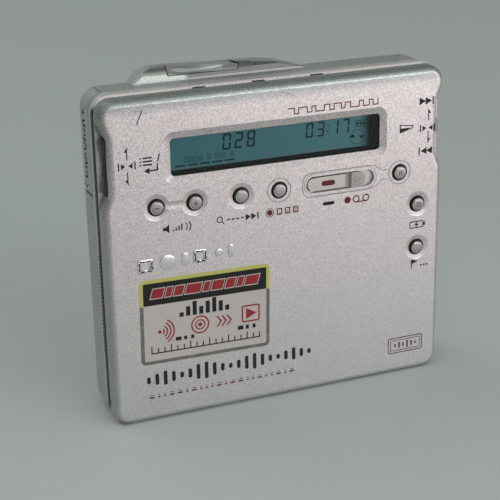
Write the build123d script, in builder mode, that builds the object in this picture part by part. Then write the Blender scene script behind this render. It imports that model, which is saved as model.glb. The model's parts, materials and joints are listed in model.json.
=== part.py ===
from build123d import *
import math
import os

# Portable minidisc recorder that stands on its hinge edge. Millimetres.
# X runs to the right, Z up, Y from the lid at the front to the back of the case.
# The origin lies under the middle of the body, on the surface it stands on.

os.makedirs("parts", exist_ok=True)

# ---- Driving dimensions -------------------------------------------------------

# The cartridge that everything is built around
cartridge_width = 72.0
cartridge_height = 68.0
cartridge_thick = 5.0
cartridge_play = 0.3          # room for it between the holder's sheet and lips

# The battery, a flat stick cell that lies behind the cartridge
battery_length = 64.0
battery_width = 15.6
battery_thick = 5.3
battery_play = 0.1

# Walls, sheets and gaps
lid_wall = 0.9                # front wall of the lid
lid_side_wall = 1.0
lid_depth = 3.6
lid_lip = 0.7                 # flush strip behind the scalloped part of the lid
seam = 0.3                    # gap between lid and body
bead_depth = 3.0
bead_round = 0.8
case_wall = 0.9
moving_gap = 0.3
arm_sheet = 0.3
holder_sheet = 0.35
deck_sheet = 0.6
side_gap = 0.35               # holder to the frame's side wall
side_play = 0.15              # cartridge to the holder's side wall
side_wall = 2.6               # frame's side members
top_wall = 1.2
head_room = 0.7               # the cartridge's top edge rises as the holder tilts
foot_room = 2.5               # from the bottom up to the cartridge
rim_step = 0.4                # the body stands this far above the lid
button_stand = 0.6            # the caps stand out of the lid
running_gap = 0.05            # shafts in their bores

# Corners and edges
lid_corner = 3.5
body_corner = 4.2
lid_edge = 1.5
back_edge = 3.9

# Hinge along the lower edge
hinge_height = 2.0
hinge_inset = 0.55            # from the lid's back edge forward to the axis
hinge_pin_r = 0.6
ear_thick = 1.0
ear_r = 1.6
holder_arm = 0.5
holder_arm_r = 0.95

# Finger recesses in the lid's sides, and the levers in them
scallop_top = 4.7             # from the lid's top down to the recess
scallop_half = 9.1
scallop_ramp = 3.3
scallop_depth = 1.4
scallop_round = 3.4
jog_half = 5.6                # half the lever's length
jog_reach = 0.85              # how far a lever stands out of its recess
play_half = 1.6
lever_thick = 1.5
lever_gap = 0.15
lever_slot_end = 0.65
lever_pivot_in = 2.25         # from the recess wall in to the pivot
lever_pivot_r = 0.4
lever_barrel_r = 0.9

# Display
window_left, window_right = -24.5, 23.9
window_low, window_high = 54.7, 62.8
window_corner = 0.9
window_thick = 0.7
dish_margin = 1.5
dish_corner = 2.2
dish_depth = 0.5
display_thick = 1.25

# Buttons: name and centre on the lid
row_drop = 6.1                # the row of buttons below the window
row_height = window_low - row_drop
button_places = {
    "volume_down_button": (-28.1, row_height),
    "volume_up_button": (-19.6, row_height),
    "end_search_button": (-9.2, row_height),
    "rec_mode_button": (-0.4, row_height + 0.1),
    "pause_button": (28.7, row_height + 0.3),
    "stop_button": (33.4, row_height - 7.7),
    "track_mark_button": (33.4, row_height - 18.0),
}
cap_r = 1.72
cap_gap = 0.2
flange_r = 2.4
flange_thick = 0.4
dimple_r = 2.9
dimple_depth = 0.35
waist_half = 0.9
waist_depth = 0.2
ring_r = 2.75
groove_width = 0.16
groove_depth = 0.12
button_travel = 0.4
dome_thick = 0.25
board_thick = 0.5
back_plate_thick = 0.4

# Record slider
rec_left, rec_right = 6.0, 22.4
rec_height = row_height + 0.15
rec_slot_width = 3.7
rec_slot_depth = 0.75
rec_travel = 2.2
rec_gap = 0.15
rec_plate = 0.35
rec_grip_length = 3.4
rec_grip_stand = 0.3
lamp_place = (11.3, row_height - 4.5)
lamp_size = (2.8, 0.8)

# Hump on the top of the case and the lid-release slider in it
hump_left, hump_right = -29.0, 10.5
hump_rise = 2.9
hump_front = 2.1              # foot of its front slope
hump_edge = 2.6
hump_corner = 4.0             # plan radius where it runs out at the back
release_left, release_length = -20.8, 16.2
release_travel = 2.2
release_gap = 0.2
release_low = 1.0             # its seat above the case's top
scoop_half, scoop_depth = 5.6, 0.6

# Battery door
door_low = 50.1
door_in = 3.15                # how far it wraps onto the top
door_gap = 0.15
door_pin_r = 0.4
door_barrel_r = 0.85

# Deck and mechanism
turntable_r = 8.5
motor_r = 10.0
shaft_r = 0.75
pickup_out = 15.0             # lens to spindle at rest
pickup_travel = 15.0
lens_r = 2.2
rod_r = 0.75
rod_below_bay = 5.3           # guide rod below the battery
screw_clear = 1.6             # lead screw below the spindle motor
screw_r = 0.9
gear_teeth, pinion_teeth = 20, 10
gear_module = 0.2
deck_low = 3.4
deck_under_bay = 0.9          # the deck's edge below the battery
board_in_gap = 1.6            # main board clear of the spindle motor
arm_width = 6.0
leg_sheet = 0.4

# Fasteners and small openings of the lid, frame and case
side_screw_heights = (5.2, 44.5)
side_screw_back = 1.15        # from the lid's back edge
side_screw_r = 0.6
case_screw_r = 0.75
case_screw_sink = 0.3
top_screw_x = 33.1
wall_screw_height = 45.8
rim_notches = (-16.3, -3.0, 10.5)
finger_places = (-16.3, 10.5)
finger_half = 0.9
finger_thick = 0.4
board_left, board_right = -32.8, 37.0
deck_mount_in, deck_mount_side = -4.7, 2.9
grommet_r = 1.6
grommet_height = 1.0
hold_top, hold_half, hold_travel = 20.4, 1.4, 2.0

# Sockets in the right side
jack_bore_r = 1.8
jack_depth = 13.0
jack_pitch = 7.4
jack_lowest = 12.2
jack_count = 3
dc_height = 39.4

# ---- What follows from them ---------------------------------------------------

mechanism_depth = battery_thick + battery_play - deck_sheet
body_depth = (lid_depth + seam + arm_sheet + moving_gap + holder_sheet + cartridge_thick
              + cartridge_play + holder_sheet + moving_gap + deck_sheet + mechanism_depth + case_wall)
front_y = button_stand - (body_depth + button_stand) / 2
lid_back_y = front_y + lid_depth
frame_front_y = lid_back_y + seam
frame_back_y = frame_front_y + bead_depth
holder_front_y = frame_front_y + arm_sheet + moving_gap
cartridge_front_y = holder_front_y + holder_sheet
cartridge_back_y = cartridge_front_y + cartridge_thick + cartridge_play
lip_back_y = cartridge_back_y + holder_sheet
deck_front_y = lip_back_y + moving_gap
deck_back_y = deck_front_y + deck_sheet
case_inner_y = deck_back_y + mechanism_depth
back_y = case_inner_y + case_wall

holder_half = cartridge_width / 2 + side_play + holder_sheet
frame_inner_half = holder_half + side_gap
body_half = frame_inner_half + side_wall
cartridge_top = foot_room + cartridge_height
frame_inner_top = cartridge_top + head_room
body_height = frame_inner_top + top_wall
lid_height = body_height - rim_step
scallop_height = lid_height - scallop_top - scallop_half
spindle_height = foot_room + cartridge_height / 2
hold_height = body_height - hold_top
case_inner_top = body_height - case_wall
bar_top = 1.1                 # frame's lower member, which the head's leg passes over

hinge_y = lid_back_y - hinge_inset
hinge_relief_r = math.hypot(hinge_inset, hinge_height) + moving_gap
lug_in = holder_half + ear_thick
ear_out = lug_in - moving_gap
ear_in = ear_out - ear_thick
arm_out = ear_in - moving_gap
arm_in = arm_out - holder_arm
pin_end = lug_in + 0.7
recess_half = body_half - scallop_depth
lid_inner_y = front_y + lid_wall
window_front_y = front_y + dish_depth
display_front_y = window_front_y + window_thick + 0.05
board_front_y = display_front_y + display_thick
back_plate_y = lid_back_y - back_plate_thick
mechanism_y = (deck_back_y + case_inner_y) / 2
side_screw_y = lid_back_y - side_screw_back
frame_cut_z = hinge_height + hinge_relief_r
finger_low = cartridge_top + head_room - 0.05
finger_high = finger_low + finger_thick


def facing(y):
    # Plane seen from the lid's side: local x right, local y up, extrusion towards the viewer
    return Plane(origin=(0, y, 0), x_dir=(1, 0, 0), z_dir=(0, -1, 0))


def across(x):
    # Plane seen from the right: local x towards the back, local y up, extrusion to the right
    return Plane(origin=(x, 0, 0), x_dir=(0, 1, 0), z_dir=(1, 0, 0))


def body_outline(inset=0.0):
    # The body's rounded outline, which starts at z = 0
    with Locations((0, body_height / 2)):
        RectangleRounded(2 * (body_half - inset), body_height - 2 * inset, body_corner - inset)


def lid_outline(inset=0.0):
    # The lid's outline, drawn in at both sides around the levers
    half = body_half - inset
    low = scallop_height - scallop_half
    high = scallop_height + scallop_half
    right = [
        (half, inset),
        (half, low),
        (half - scallop_depth, low + scallop_ramp),
        (half - scallop_depth, high - scallop_ramp),
        (half, high),
        (half, lid_height - inset),
    ]
    left = [(-x, z) for x, z in reversed(right)]
    corner = lid_corner - inset
    rounds = [corner, scallop_round, scallop_round, scallop_round, scallop_round, corner]
    with BuildLine() as outline:
        FilletPolyline(*right, *left, radius=rounds + rounds[::-1], close=True)
    make_face(outline.edges())


def plain_lid_outline(inset=0.0):
    with Locations((0, lid_height / 2)):
        RectangleRounded(2 * (body_half - inset), lid_height - 2 * inset, lid_corner - inset)


def block(x, y, z, mode=Mode.ADD):
    # A box between two limits on each axis
    with Locations(((x[0] + x[1]) / 2, (y[0] + y[1]) / 2, (z[0] + z[1]) / 2)):
        Box(x[1] - x[0], y[1] - y[0], z[1] - z[0], mode=mode)


def rod_x(x, y, z, radius, mode=Mode.ADD):
    # A round bar along X
    with Locations(Location(((x[0] + x[1]) / 2, y, z), (0, 90, 0))):
        Cylinder(radius, x[1] - x[0], mode=mode)


def rod_y(x, y, z, radius, mode=Mode.ADD):
    # A round bar along Y
    with Locations(Location((x, (y[0] + y[1]) / 2, z), (90, 0, 0))):
        Cylinder(radius, y[1] - y[0], mode=mode)


def keep(piece, name):
    piece.part.label = name
    export_step(piece.part, "parts/" + name + ".step")


def cap_sphere_r(radius, depth):
    # Radius of the sphere that cuts a dimple of this rim radius and depth
    return (radius ** 2 + depth ** 2) / (2 * depth)


# ---- Lid ----------------------------------------------------------------------

window_mid = ((window_left + window_right) / 2, (window_low + window_high) / 2)
window_size = (window_right - window_left, window_high - window_low)
dish_mid = ((window_left + window_right) / 2, (window_low + window_high) / 2)
dish_size = (window_size[0] + 2 * dish_margin, window_size[1] + 2 * dish_margin)
rec_mid = ((rec_left + rec_right) / 2, rec_height)
rec_length = rec_right - rec_left
dimpled = ["volume_down_button", "volume_up_button", "end_search_button", "stop_button", "track_mark_button"]
ringed = ["rec_mode_button", "pause_button"]
dimple_sphere_r = cap_sphere_r(dimple_r, dimple_depth)
lever_y = (lid_inner_y + back_plate_y) / 2 - 0.1
board_foot = button_places["track_mark_button"][1] - 3.1
lever_slot_half = lever_thick / 2 + lever_gap
rec_floor_y = front_y + rec_slot_depth
rec_pad_y = lid_inner_y + 0.5
tongue_left, tongue_right = rec_left + 3.0, rec_left + 6.0
notch_in, notch_out = arm_in - moving_gap, lug_in

lug_top = hinge_height + ear_r + 0.2

with BuildPart() as lid_panel:
    with BuildSketch(facing(lid_back_y)):
        lid_outline()
    extrude(amount=lid_depth)
    fillet(lid_panel.edges().group_by(Axis.Y)[0], lid_edge)
    with BuildSketch(facing(lid_back_y)):
        plain_lid_outline()
    extrude(amount=lid_lip)
    # hollow from behind, but for the corner lugs that turn on the hinge pins
    with BuildSketch(facing(lid_back_y)):
        lid_outline(lid_side_wall)
        for side in (-1, 1):
            with Locations((side * (lug_in + body_half) / 2, lug_top / 2)):
                Rectangle(body_half - lug_in, lug_top, mode=Mode.SUBTRACT)
    extrude(amount=lid_depth - lid_wall, mode=Mode.SUBTRACT)
    for side in (-1, 1):
        bore = sorted((side * (lug_in - 0.1), side * (pin_end + 0.1)))
        rod_x(bore, hinge_y, hinge_height, hinge_pin_r + running_gap, Mode.SUBTRACT)
        notch = sorted((side * notch_in, side * notch_out))
        block(notch, (lid_inner_y, lid_back_y + 1), (-1, hinge_height + 0.1), Mode.SUBTRACT)
    # dished surround that slopes down to the display, and the window's hole
    with BuildSketch(facing(front_y)):
        with Locations(dish_mid):
            RectangleRounded(*dish_size, dish_corner)
    with BuildSketch(facing(window_front_y)):
        with Locations(window_mid):
            RectangleRounded(window_size[0] + 0.1, window_size[1] + 0.1, window_corner + 0.05)
    loft(ruled=True, mode=Mode.SUBTRACT)
    with BuildSketch(facing(front_y)):
        with Locations(window_mid):
            RectangleRounded(*window_size, window_corner)
    extrude(amount=-lid_wall - 0.1, mode=Mode.SUBTRACT)
    # dimples around five of the buttons, the waist between the volume pair
    with Locations(*[(button_places[n][0], front_y + dimple_depth - dimple_sphere_r, button_places[n][1])
                     for n in dimpled]):
        Sphere(dimple_sphere_r, mode=Mode.SUBTRACT)
    waist_r = cap_sphere_r(waist_half, waist_depth)
    left_x, waist_z = button_places["volume_down_button"]
    right_x = button_places["volume_up_button"][0]
    rod_x((left_x, right_x), front_y + waist_depth - waist_r, waist_z, waist_r, Mode.SUBTRACT)
    # engraved rings around the other two, and the outline around the record slider
    with BuildSketch(facing(front_y)):
        with Locations(*[button_places[n] for n in ringed]):
            Circle(ring_r)
            Circle(ring_r - groove_width, mode=Mode.SUBTRACT)
    extrude(amount=-groove_depth, mode=Mode.SUBTRACT)
    with BuildSketch(facing(front_y)):
        with Locations(rec_mid):
            SlotOverall(rec_length + 1.1, rec_slot_width + 1.5)
            SlotOverall(rec_length + 1.1 - 2 * groove_width, rec_slot_width + 1.5 - 2 * groove_width,
                        mode=Mode.SUBTRACT)
    extrude(amount=-groove_depth, mode=Mode.SUBTRACT)
    # pad behind the record slider, its sunk track and the slot for its tongue
    block((rec_left - 1, rec_right + 1), (lid_inner_y, rec_pad_y),
          (rec_height - rec_slot_width / 2 - 1, rec_height + rec_slot_width / 2 + 1))
    with BuildSketch(facing(front_y)):
        with Locations(rec_mid):
            SlotOverall(rec_length, rec_slot_width)
    extrude(amount=-rec_slot_depth, mode=Mode.SUBTRACT)
    block((tongue_left - 0.2, tongue_right + rec_travel + 0.2), (front_y, rec_pad_y + 1),
          (rec_height - 0.65, rec_height + 0.65), Mode.SUBTRACT)
    # holes for the caps and the lamp
    with BuildSketch(facing(front_y)):
        with Locations(*button_places.values()):
            Circle(cap_r + cap_gap)
        with Locations(lamp_place):
            SlotOverall(*lamp_size)
    extrude(amount=-lid_wall - 0.1, mode=Mode.SUBTRACT)
    # lever slots in the recess walls
    for side, half in ((-1, jog_half), (1, play_half)):
        slot = sorted((side * (recess_half - lid_side_wall - 1), side * (body_half + 1)))
        block(slot, (lever_y - lever_slot_half, lever_y + lever_slot_half),
              (scallop_height - half - lever_slot_end, scallop_height + half + lever_slot_end), Mode.SUBTRACT)
    # countersinks for the side screws
    for side in (-1, 1):
        for z in side_screw_heights:
            wall = sorted((side * (body_half - lid_side_wall - 0.1), side * (body_half + 0.1)))
            rod_x(wall, side_screw_y, z, side_screw_r, Mode.SUBTRACT)
keep(lid_panel, "lid_panel")

with BuildPart() as lid_frame:
    with BuildSketch(facing(lid_back_y)):
        lid_outline(lid_side_wall + 0.15)
        with Locations((0, frame_cut_z / 2)):
            Rectangle(2 * body_half, frame_cut_z, mode=Mode.SUBTRACT)
    extrude(amount=back_plate_thick)
    # bent tabs that the side screws go into
    for side in (-1, 1):
        for z in side_screw_heights:
            tab = sorted((side * (body_half - lid_side_wall - 0.15), side * (body_half - lid_side_wall - 0.75)))
            reach = (max(z - 1.4, frame_cut_z), z + 1.4)
            block(tab, (side_screw_y - 0.9, back_plate_y), reach)
            bore = sorted((side * (body_half - lid_side_wall), side * (body_half - lid_side_wall - 1)))
            rod_x(bore, side_screw_y, z, side_screw_r * 0.6, Mode.SUBTRACT)
    # spacers under the lid's board
    for x, z in ((board_left + 1.8, row_height - 5.6), (0, row_height - 5.6),
                 (board_right - 2.0, row_height - 5.6), (board_right - 2.0, board_foot + 1.5)):
        rod_y(x, (board_front_y + board_thick, back_plate_y), z, 0.8)
keep(lid_frame, "lid_frame")

with BuildPart() as side_screws:
    for side in (-1, 1):
        for z in side_screw_heights:
            head = sorted((side * (body_half - 0.1), side * (body_half - lid_side_wall - 0.15)))
            shank = sorted((side * (body_half - lid_side_wall - 0.1), side * (body_half - lid_side_wall - 0.75)))
            rod_x(head, side_screw_y, z, side_screw_r - 0.05)
            rod_x(shank, side_screw_y, z, side_screw_r * 0.6)
keep(side_screws, "lid_side_screws")

with BuildPart() as lcd_window:
    with BuildSketch(facing(window_front_y)):
        with Locations(window_mid):
            RectangleRounded(window_size[0] - 0.16, window_size[1] - 0.16, window_corner)
    extrude(amount=-window_thick)
    with BuildSketch(facing(lid_inner_y)):
        with Locations(window_mid):
            RectangleRounded(window_size[0] + 1.6, window_size[1] + 1.6, window_corner)
    extrude(amount=lid_inner_y - window_front_y - window_thick)
keep(lcd_window, "lcd_window")

with BuildPart() as lcd_panel:
    with BuildSketch(facing(display_front_y)):
        with Locations(window_mid):
            Rectangle(window_size[0] + 1.0, window_size[1] + 1.4)
    extrude(amount=-display_thick)
keep(lcd_panel, "lcd_panel")

with BuildPart() as lid_board:
    with BuildSketch(facing(board_front_y)):
        Polygon((board_left, row_height - 7.6), (board_right - 10.0, row_height - 7.6),
                (board_right - 10.0, board_foot), (board_right, board_foot), (board_right, row_height - 2.6),
                (-board_left, row_height + 1.9), (-board_left, window_high + 2.5), (board_left, window_high + 2.5),
                align=None)
    extrude(amount=-board_thick)
keep(lid_board, "lid_board")

with BuildPart() as domes:
    with BuildSketch(facing(board_front_y)):
        with Locations(*button_places.values()):
            Circle(cap_r + 0.3)
    extrude(amount=dome_thick)
    chamfer(domes.edges().group_by(Axis.Y)[0], dome_thick * 0.9, dome_thick * 0.5)
keep(domes, "dome_switches")

with BuildPart() as lamp:
    with BuildSketch(facing(board_front_y)):
        with Locations(lamp_place):
            SlotOverall(lamp_size[0] - 0.12, lamp_size[1] - 0.12)
    extrude(amount=board_front_y - front_y - 0.05)
keep(lamp, "rec_lamp")


# ---- Buttons, record slider and levers ----------------------------------------

def button(name):
    x, z = button_places[name]
    cap_front_y = front_y - button_stand
    flange_y = lid_inner_y + 0.25
    stem_end_y = board_front_y - dome_thick - button_travel - 0.05
    with BuildPart() as cap:
        with BuildSketch(facing(cap_front_y)):
            with Locations((x, z)):
                Circle(cap_r)
        extrude(amount=-(flange_y - cap_front_y))
        chamfer(cap.edges().group_by(Axis.Y)[0], 0.25)
        with BuildSketch(facing(flange_y)):
            with Locations((x, z)):
                Circle(flange_r)
        extrude(amount=-flange_thick)
        with BuildSketch(facing(flange_y + flange_thick)):
            with Locations((x, z)):
                Circle(cap_r * 0.6)
        extrude(amount=-max(stem_end_y - flange_y - flange_thick, 0.05))
    keep(cap, name)


for name in button_places:
    button(name)

rec_plate_length = rec_length - rec_travel - 2 * 0.1
rec_plate_mid = rec_left + 0.1 + rec_plate_length / 2
grip_right = rec_left + 0.1 + rec_plate_length
grip_left = grip_right - rec_grip_length
rec_plate_back_y = rec_floor_y - running_gap
rec_plate_front_y = rec_plate_back_y - rec_plate
rec_half = rec_slot_width / 2 - rec_gap
inlay_place = (rec_left + 5.4, rec_height - 0.1)
inlay_size = (3.2, 1.15)
with BuildPart() as rec_slider:
    with BuildSketch(facing(rec_plate_back_y)):
        with Locations((rec_plate_mid, rec_height)):
            SlotOverall(rec_plate_length, 2 * rec_half)
    extrude(amount=rec_plate_back_y - front_y + rec_grip_stand)
    # scoop that leaves the low plate and the raised grip
    with BuildSketch(Plane.XY.offset(rec_height - rec_half - 1)):
        with BuildLine():
            Polyline((rec_left - 1, front_y - 2), (rec_left - 1, rec_plate_front_y),
                     (grip_left - 1.6, rec_plate_front_y))
            RadiusArc((grip_left - 1.6, rec_plate_front_y), (grip_left, front_y - rec_grip_stand), 1.9)
            Polyline((grip_left, front_y - rec_grip_stand), (grip_left, front_y - 2), (rec_left - 1, front_y - 2))
        make_face()
    extrude(amount=2 * rec_half + 2, mode=Mode.SUBTRACT)
    with BuildSketch(facing(rec_plate_front_y)):
        with Locations(inlay_place):
            SlotOverall(inlay_size[0] + 0.02, inlay_size[1] + 0.02)
    extrude(amount=-0.2, mode=Mode.SUBTRACT)
    # tongue through the lid with its keeper
    block((tongue_left, tongue_right), (rec_plate_back_y, rec_pad_y + 0.5), (rec_height - 0.5, rec_height + 0.5))
    block((tongue_left, tongue_right), (rec_pad_y + 0.15, rec_pad_y + 0.5), (rec_height - 1.2, rec_height + 1.2))
keep(rec_slider, "rec_slider")

with BuildPart() as rec_inlay:
    with BuildSketch(facing(rec_plate_front_y + 0.2)):
        with Locations(inlay_place):
            SlotOverall(*inlay_size)
    extrude(amount=0.24)
keep(rec_inlay, "rec_slider_inlay")


def lever(side, half, carriage_name, lever_name, waist):
    # A rocking lever on a carriage that can be pressed in, for one side of the lid
    pivot_x = side * (recess_half - lever_pivot_in)
    outer = recess_half + jog_reach
    inner = recess_half - lid_side_wall + 0.25
    base_y = (lever_y + lever_thick / 2 + 0.1, back_plate_y - 0.1)
    with BuildPart() as carriage:
        plate = sorted((pivot_x - side * 1.9, pivot_x + side * (lever_pivot_in - lid_side_wall - 0.15)))
        block(plate, base_y, (scallop_height - half - 0.5, scallop_height + half + 0.5))
        rod_y(pivot_x, (lever_y - lever_thick / 2 - 0.1, base_y[0]), scallop_height, lever_pivot_r)
    keep(carriage, carriage_name)
    with BuildPart() as rocker:
        with BuildSketch(facing(lever_y + lever_thick / 2)):
            with BuildLine():
                Line((side * inner, scallop_height - half), (side * (outer - 0.3), scallop_height - half))
                Line((side * (outer - 0.3), scallop_height - half), (side * outer, scallop_height - half + 0.5))
                ThreePointArc((side * outer, scallop_height - half + 0.5),
                              (side * (outer - waist), scallop_height),
                              (side * outer, scallop_height + half - 0.5))
                Line((side * outer, scallop_height + half - 0.5), (side * (outer - 0.3), scallop_height + half))
                Line((side * (outer - 0.3), scallop_height + half), (side * inner, scallop_height + half))
                Line((side * inner, scallop_height + half), (side * inner, scallop_height - half))
            make_face()
            with Locations(((pivot_x + side * inner) / 2, scallop_height)):
                Rectangle(abs(side * inner - pivot_x), 2 * lever_barrel_r)
            with Locations((pivot_x, scallop_height)):
                Circle(lever_barrel_r)
                Circle(lever_pivot_r + running_gap, mode=Mode.SUBTRACT)
        extrude(amount=lever_thick)
    keep(rocker, lever_name)


lever(-1, jog_half, "jog_carriage", "jog_lever", 0.75)
lever(1, play_half, "play_carriage", "play_lever", 0.15)


# ---- Frame, case and what they hold -------------------------------------------

with BuildPart() as mid_frame:
    with BuildSketch(facing(frame_back_y)):
        body_outline()
    extrude(amount=bead_depth)
    fillet(mid_frame.edges().group_by(Axis.Y)[0], bead_round)
    chamfer(mid_frame.edges().group_by(Axis.Y)[-1], bead_round * 0.4)
    with BuildSketch(facing(frame_back_y)):
        with Locations((0, (frame_inner_top + bar_top) / 2)):
            RectangleRounded(2 * frame_inner_half, frame_inner_top - bar_top, 0.8)
    extrude(amount=bead_depth, mode=Mode.SUBTRACT)
    # channel that the lid's lower edge turns in
    with BuildSketch(across(-body_half - 1)):
        Polygon((frame_front_y - 1, -1), (hinge_y + hinge_relief_r, -1),
                (hinge_y + hinge_relief_r, hinge_height + 0.42 * hinge_relief_r),
                (hinge_y + 0.42 * hinge_relief_r, hinge_height + hinge_relief_r),
                (frame_front_y - 1, hinge_height + hinge_relief_r), align=None)
    extrude(amount=2 * body_half + 2, mode=Mode.SUBTRACT)
    # ears that hold the hinge pins
    for side in (-1, 1):
        ear = sorted((side * ear_in, side * ear_out))
        rod_x(ear, hinge_y, hinge_height, ear_r)
        block(ear, (hinge_y, frame_back_y - bead_round), (hinge_height - ear_r, bar_top + 0.4))
        rod_x(ear, hinge_y, hinge_height, hinge_pin_r, Mode.SUBTRACT)
    # notches in the rim over the release fingers
    for x in rim_notches:
        block((x - 0.9, x + 0.9), (frame_front_y - 0.1, frame_front_y + 0.7),
              (frame_inner_top - 0.1, lid_height + 0.05), Mode.SUBTRACT)
    for x in finger_places:
        block((x - finger_half - 0.2, x + finger_half + release_travel + 0.2),
              (frame_front_y - 0.1, frame_back_y + 0.1), (finger_low - 0.15, finger_high + 0.15), Mode.SUBTRACT)
keep(mid_frame, "mid_frame")

with BuildPart() as hinge_pins:
    for side in (-1, 1):
        rod_x(sorted((side * (arm_in - 0.1), side * pin_end)), hinge_y, hinge_height, hinge_pin_r)
keep(hinge_pins, "hinge_pins")

hump_top = body_height + hump_rise


release_seat = body_height + release_low
scoop_sphere_r = cap_sphere_r(scoop_half, scoop_depth)
door_pin_x = -body_half + door_barrel_r
door_pin_z = door_low + door_gap + door_barrel_r
door_front_y = frame_back_y + 0.75
door_right = -body_half + door_in
door_lug_y = 4.9
door_lug = ((door_pin_x - 0.6, door_pin_x + 0.75), (door_pin_z - 1.2, door_pin_z + 0.8))
grommet_back_y = deck_back_y + grommet_height
top_screw_y = deck_front_y + 0.85
slider_back_y = back_y - 2.2
foot_x = (release_left + 7.5, release_left + 10.0)
foot_y = (hump_front + 1.9, hump_front + 3.1)
latch_z = (finger_low - finger_thick, finger_low)
bay_right = -body_half + case_wall + 2.35 + battery_length
bay_top = case_inner_top - 2.0
bay_low = bay_top - battery_width
deck_high = bay_low - deck_under_bay
deck_mounts = ((deck_mount_in, deck_low + 3.6), (deck_mount_in, deck_high - 2.6),
               (holder_half - deck_mount_side, deck_low + 2.2))
rib_z = (bay_low - 0.75, bay_low - 0.25)
wall_screw_y = frame_back_y + 1.75
jack_block_left = body_half - 0.1 - jack_depth - 1.4
jack_places = [jack_lowest + i * jack_pitch for i in range(jack_count)]

with BuildPart() as case_form:
    with BuildSketch(facing(back_y)):
        body_outline()
    extrude(amount=back_y - frame_back_y)
    fillet(case_form.edges().group_by(Axis.Y)[-1], back_edge)
    chamfer(case_form.edges().group_by(Axis.Y)[0], 0.25)

with BuildPart() as case_hollow:
    with BuildSketch(facing(case_inner_y)):
        body_outline(case_wall)
    extrude(amount=case_inner_y - frame_back_y + 0.1)
    chamfer(case_hollow.edges().group_by(Axis.Y)[-1], 0.46 * back_edge)

hump_foot = body_height - back_edge
hump_length = hump_right - hump_left
# its front rises steeply from the rim and then leans back to the top
slope = ((hump_front + 0.45, body_height + 0.5 * hump_rise), (hump_front + 1.8, hump_top - 0.2))
with BuildPart() as hump_form:
    with BuildSketch(facing(back_y)):
        with BuildLine():
            Line((hump_left, hump_foot), (hump_left, body_height))
            Spline((hump_left, body_height), (hump_left + 0.04 * hump_length, body_height + 0.25 * hump_rise),
                   (hump_left + 0.11 * hump_length, body_height + 0.9 * hump_rise),
                   (hump_left + 0.2 * hump_length, body_height + hump_rise),
                   (hump_left + 0.6 * hump_length, body_height + 0.74 * hump_rise),
                   (hump_left + 0.85 * hump_length, body_height + 0.5 * hump_rise),
                   (hump_left + 0.95 * hump_length, body_height + 0.15 * hump_rise),
                   (hump_right, body_height))
            Polyline((hump_right, body_height), (hump_right, hump_foot), (hump_left, hump_foot))
        make_face()
    extrude(amount=back_y - hump_front)
    with BuildSketch(across(hump_left - 1)):
        with BuildLine():
            Polyline((hump_front, hump_foot), (hump_front, body_height), *slope, (slope[1][0] + 0.8, hump_top + 0.05),
                     (back_y - hump_edge, hump_top + 0.05))
            RadiusArc((back_y - hump_edge, hump_top + 0.05), (back_y, hump_top + 0.05 - hump_edge), hump_edge)
            Polyline((back_y, hump_top + 0.05 - hump_edge), (back_y, hump_foot), (hump_front, hump_foot))
        make_face()
    extrude(amount=hump_length + 2, mode=Mode.INTERSECT)
    with BuildSketch(Plane.XY.offset(hump_foot - 1)):
        with Locations(((hump_left + hump_right) / 2, 0)):
            RectangleRounded(hump_length, 2 * back_y, hump_corner)
    extrude(amount=hump_rise + back_edge + 2, mode=Mode.INTERSECT)

with BuildPart() as rear_case:
    add(case_form.part)
    add(hump_form.part)
    add(case_hollow.part, mode=Mode.SUBTRACT)
    # seat of the release slider and the slot for its foot
    block((release_left - release_gap, release_left + release_length + release_travel + release_gap),
          (hump_front - 1, slider_back_y + release_gap), (release_seat, hump_top + 1), Mode.SUBTRACT)
    block((foot_x[0] - 0.2, foot_x[1] + release_travel + 0.2), (foot_y[0] - 0.2, foot_y[1] + 0.2),
          (case_inner_top - 1, release_seat + 0.1), Mode.SUBTRACT)
    for x in finger_places:
        block((x - finger_half - 0.2, x + finger_half + release_travel + 0.2),
              (frame_back_y - 0.1, foot_y[1] + 0.2), (case_inner_top - 0.5, finger_high + 0.15), Mode.SUBTRACT)
    # corner that the battery door closes
    block((-body_half - 1, door_right), (door_front_y, back_y + 1), (door_low, hump_top), Mode.SUBTRACT)
    for y in ((frame_back_y, door_front_y), (door_lug_y, door_lug_y + 0.8)):
        block(door_lug[0], y, door_lug[1])
    rod_y(door_pin_x, (frame_back_y - 1, door_lug_y + 1), door_pin_z, door_pin_r, Mode.SUBTRACT)
    # bosses under the deck, with their screw holes
    for x, z in deck_mounts:
        rod_y(x, (grommet_back_y, case_inner_y + 0.1), z, grommet_r - 0.2)
        rod_y(x, (grommet_back_y - 1, case_inner_y - 1.2), z, 0.5, Mode.SUBTRACT)
    # rib under the battery
    block((-body_half + 4.0, bay_right + 1.5), (deck_back_y + 1.0, case_inner_y + 0.1), rib_z)
    # sockets, hold switch and screws
    for z in jack_places:
        rod_x((body_half - back_edge - 1, body_half + 1), mechanism_y, z, jack_bore_r + 0.55, Mode.SUBTRACT)
    rod_x((body_half - back_edge - 1, body_half + 1), mechanism_y, dc_height, 2.15, Mode.SUBTRACT)
    block((body_half - 2, body_half + 1), (frame_back_y + 1.5, frame_back_y + 3.1),
          (hold_height - hold_half - 0.2, hold_height + hold_half + hold_travel + 0.2), Mode.SUBTRACT)
    with Locations((top_screw_x, top_screw_y, body_height - case_screw_sink / 2)):
        Cylinder(case_screw_r + 0.08, case_screw_sink, mode=Mode.SUBTRACT)
    with Locations((top_screw_x, top_screw_y, body_height - 1)):
        Cylinder(case_screw_r * 0.6, 2.5, mode=Mode.SUBTRACT)
    for side in (-1, 1):
        sink = sorted((side * (body_half - case_screw_sink), side * (body_half + 0.5)))
        through = sorted((side * (body_half - 2), side * (body_half + 0.5)))
        rod_x(sink, wall_screw_y, wall_screw_height, case_screw_r + 0.08, Mode.SUBTRACT)
        rod_x(through, wall_screw_y, wall_screw_height, case_screw_r * 0.6, Mode.SUBTRACT)
keep(rear_case, "rear_case")

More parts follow.
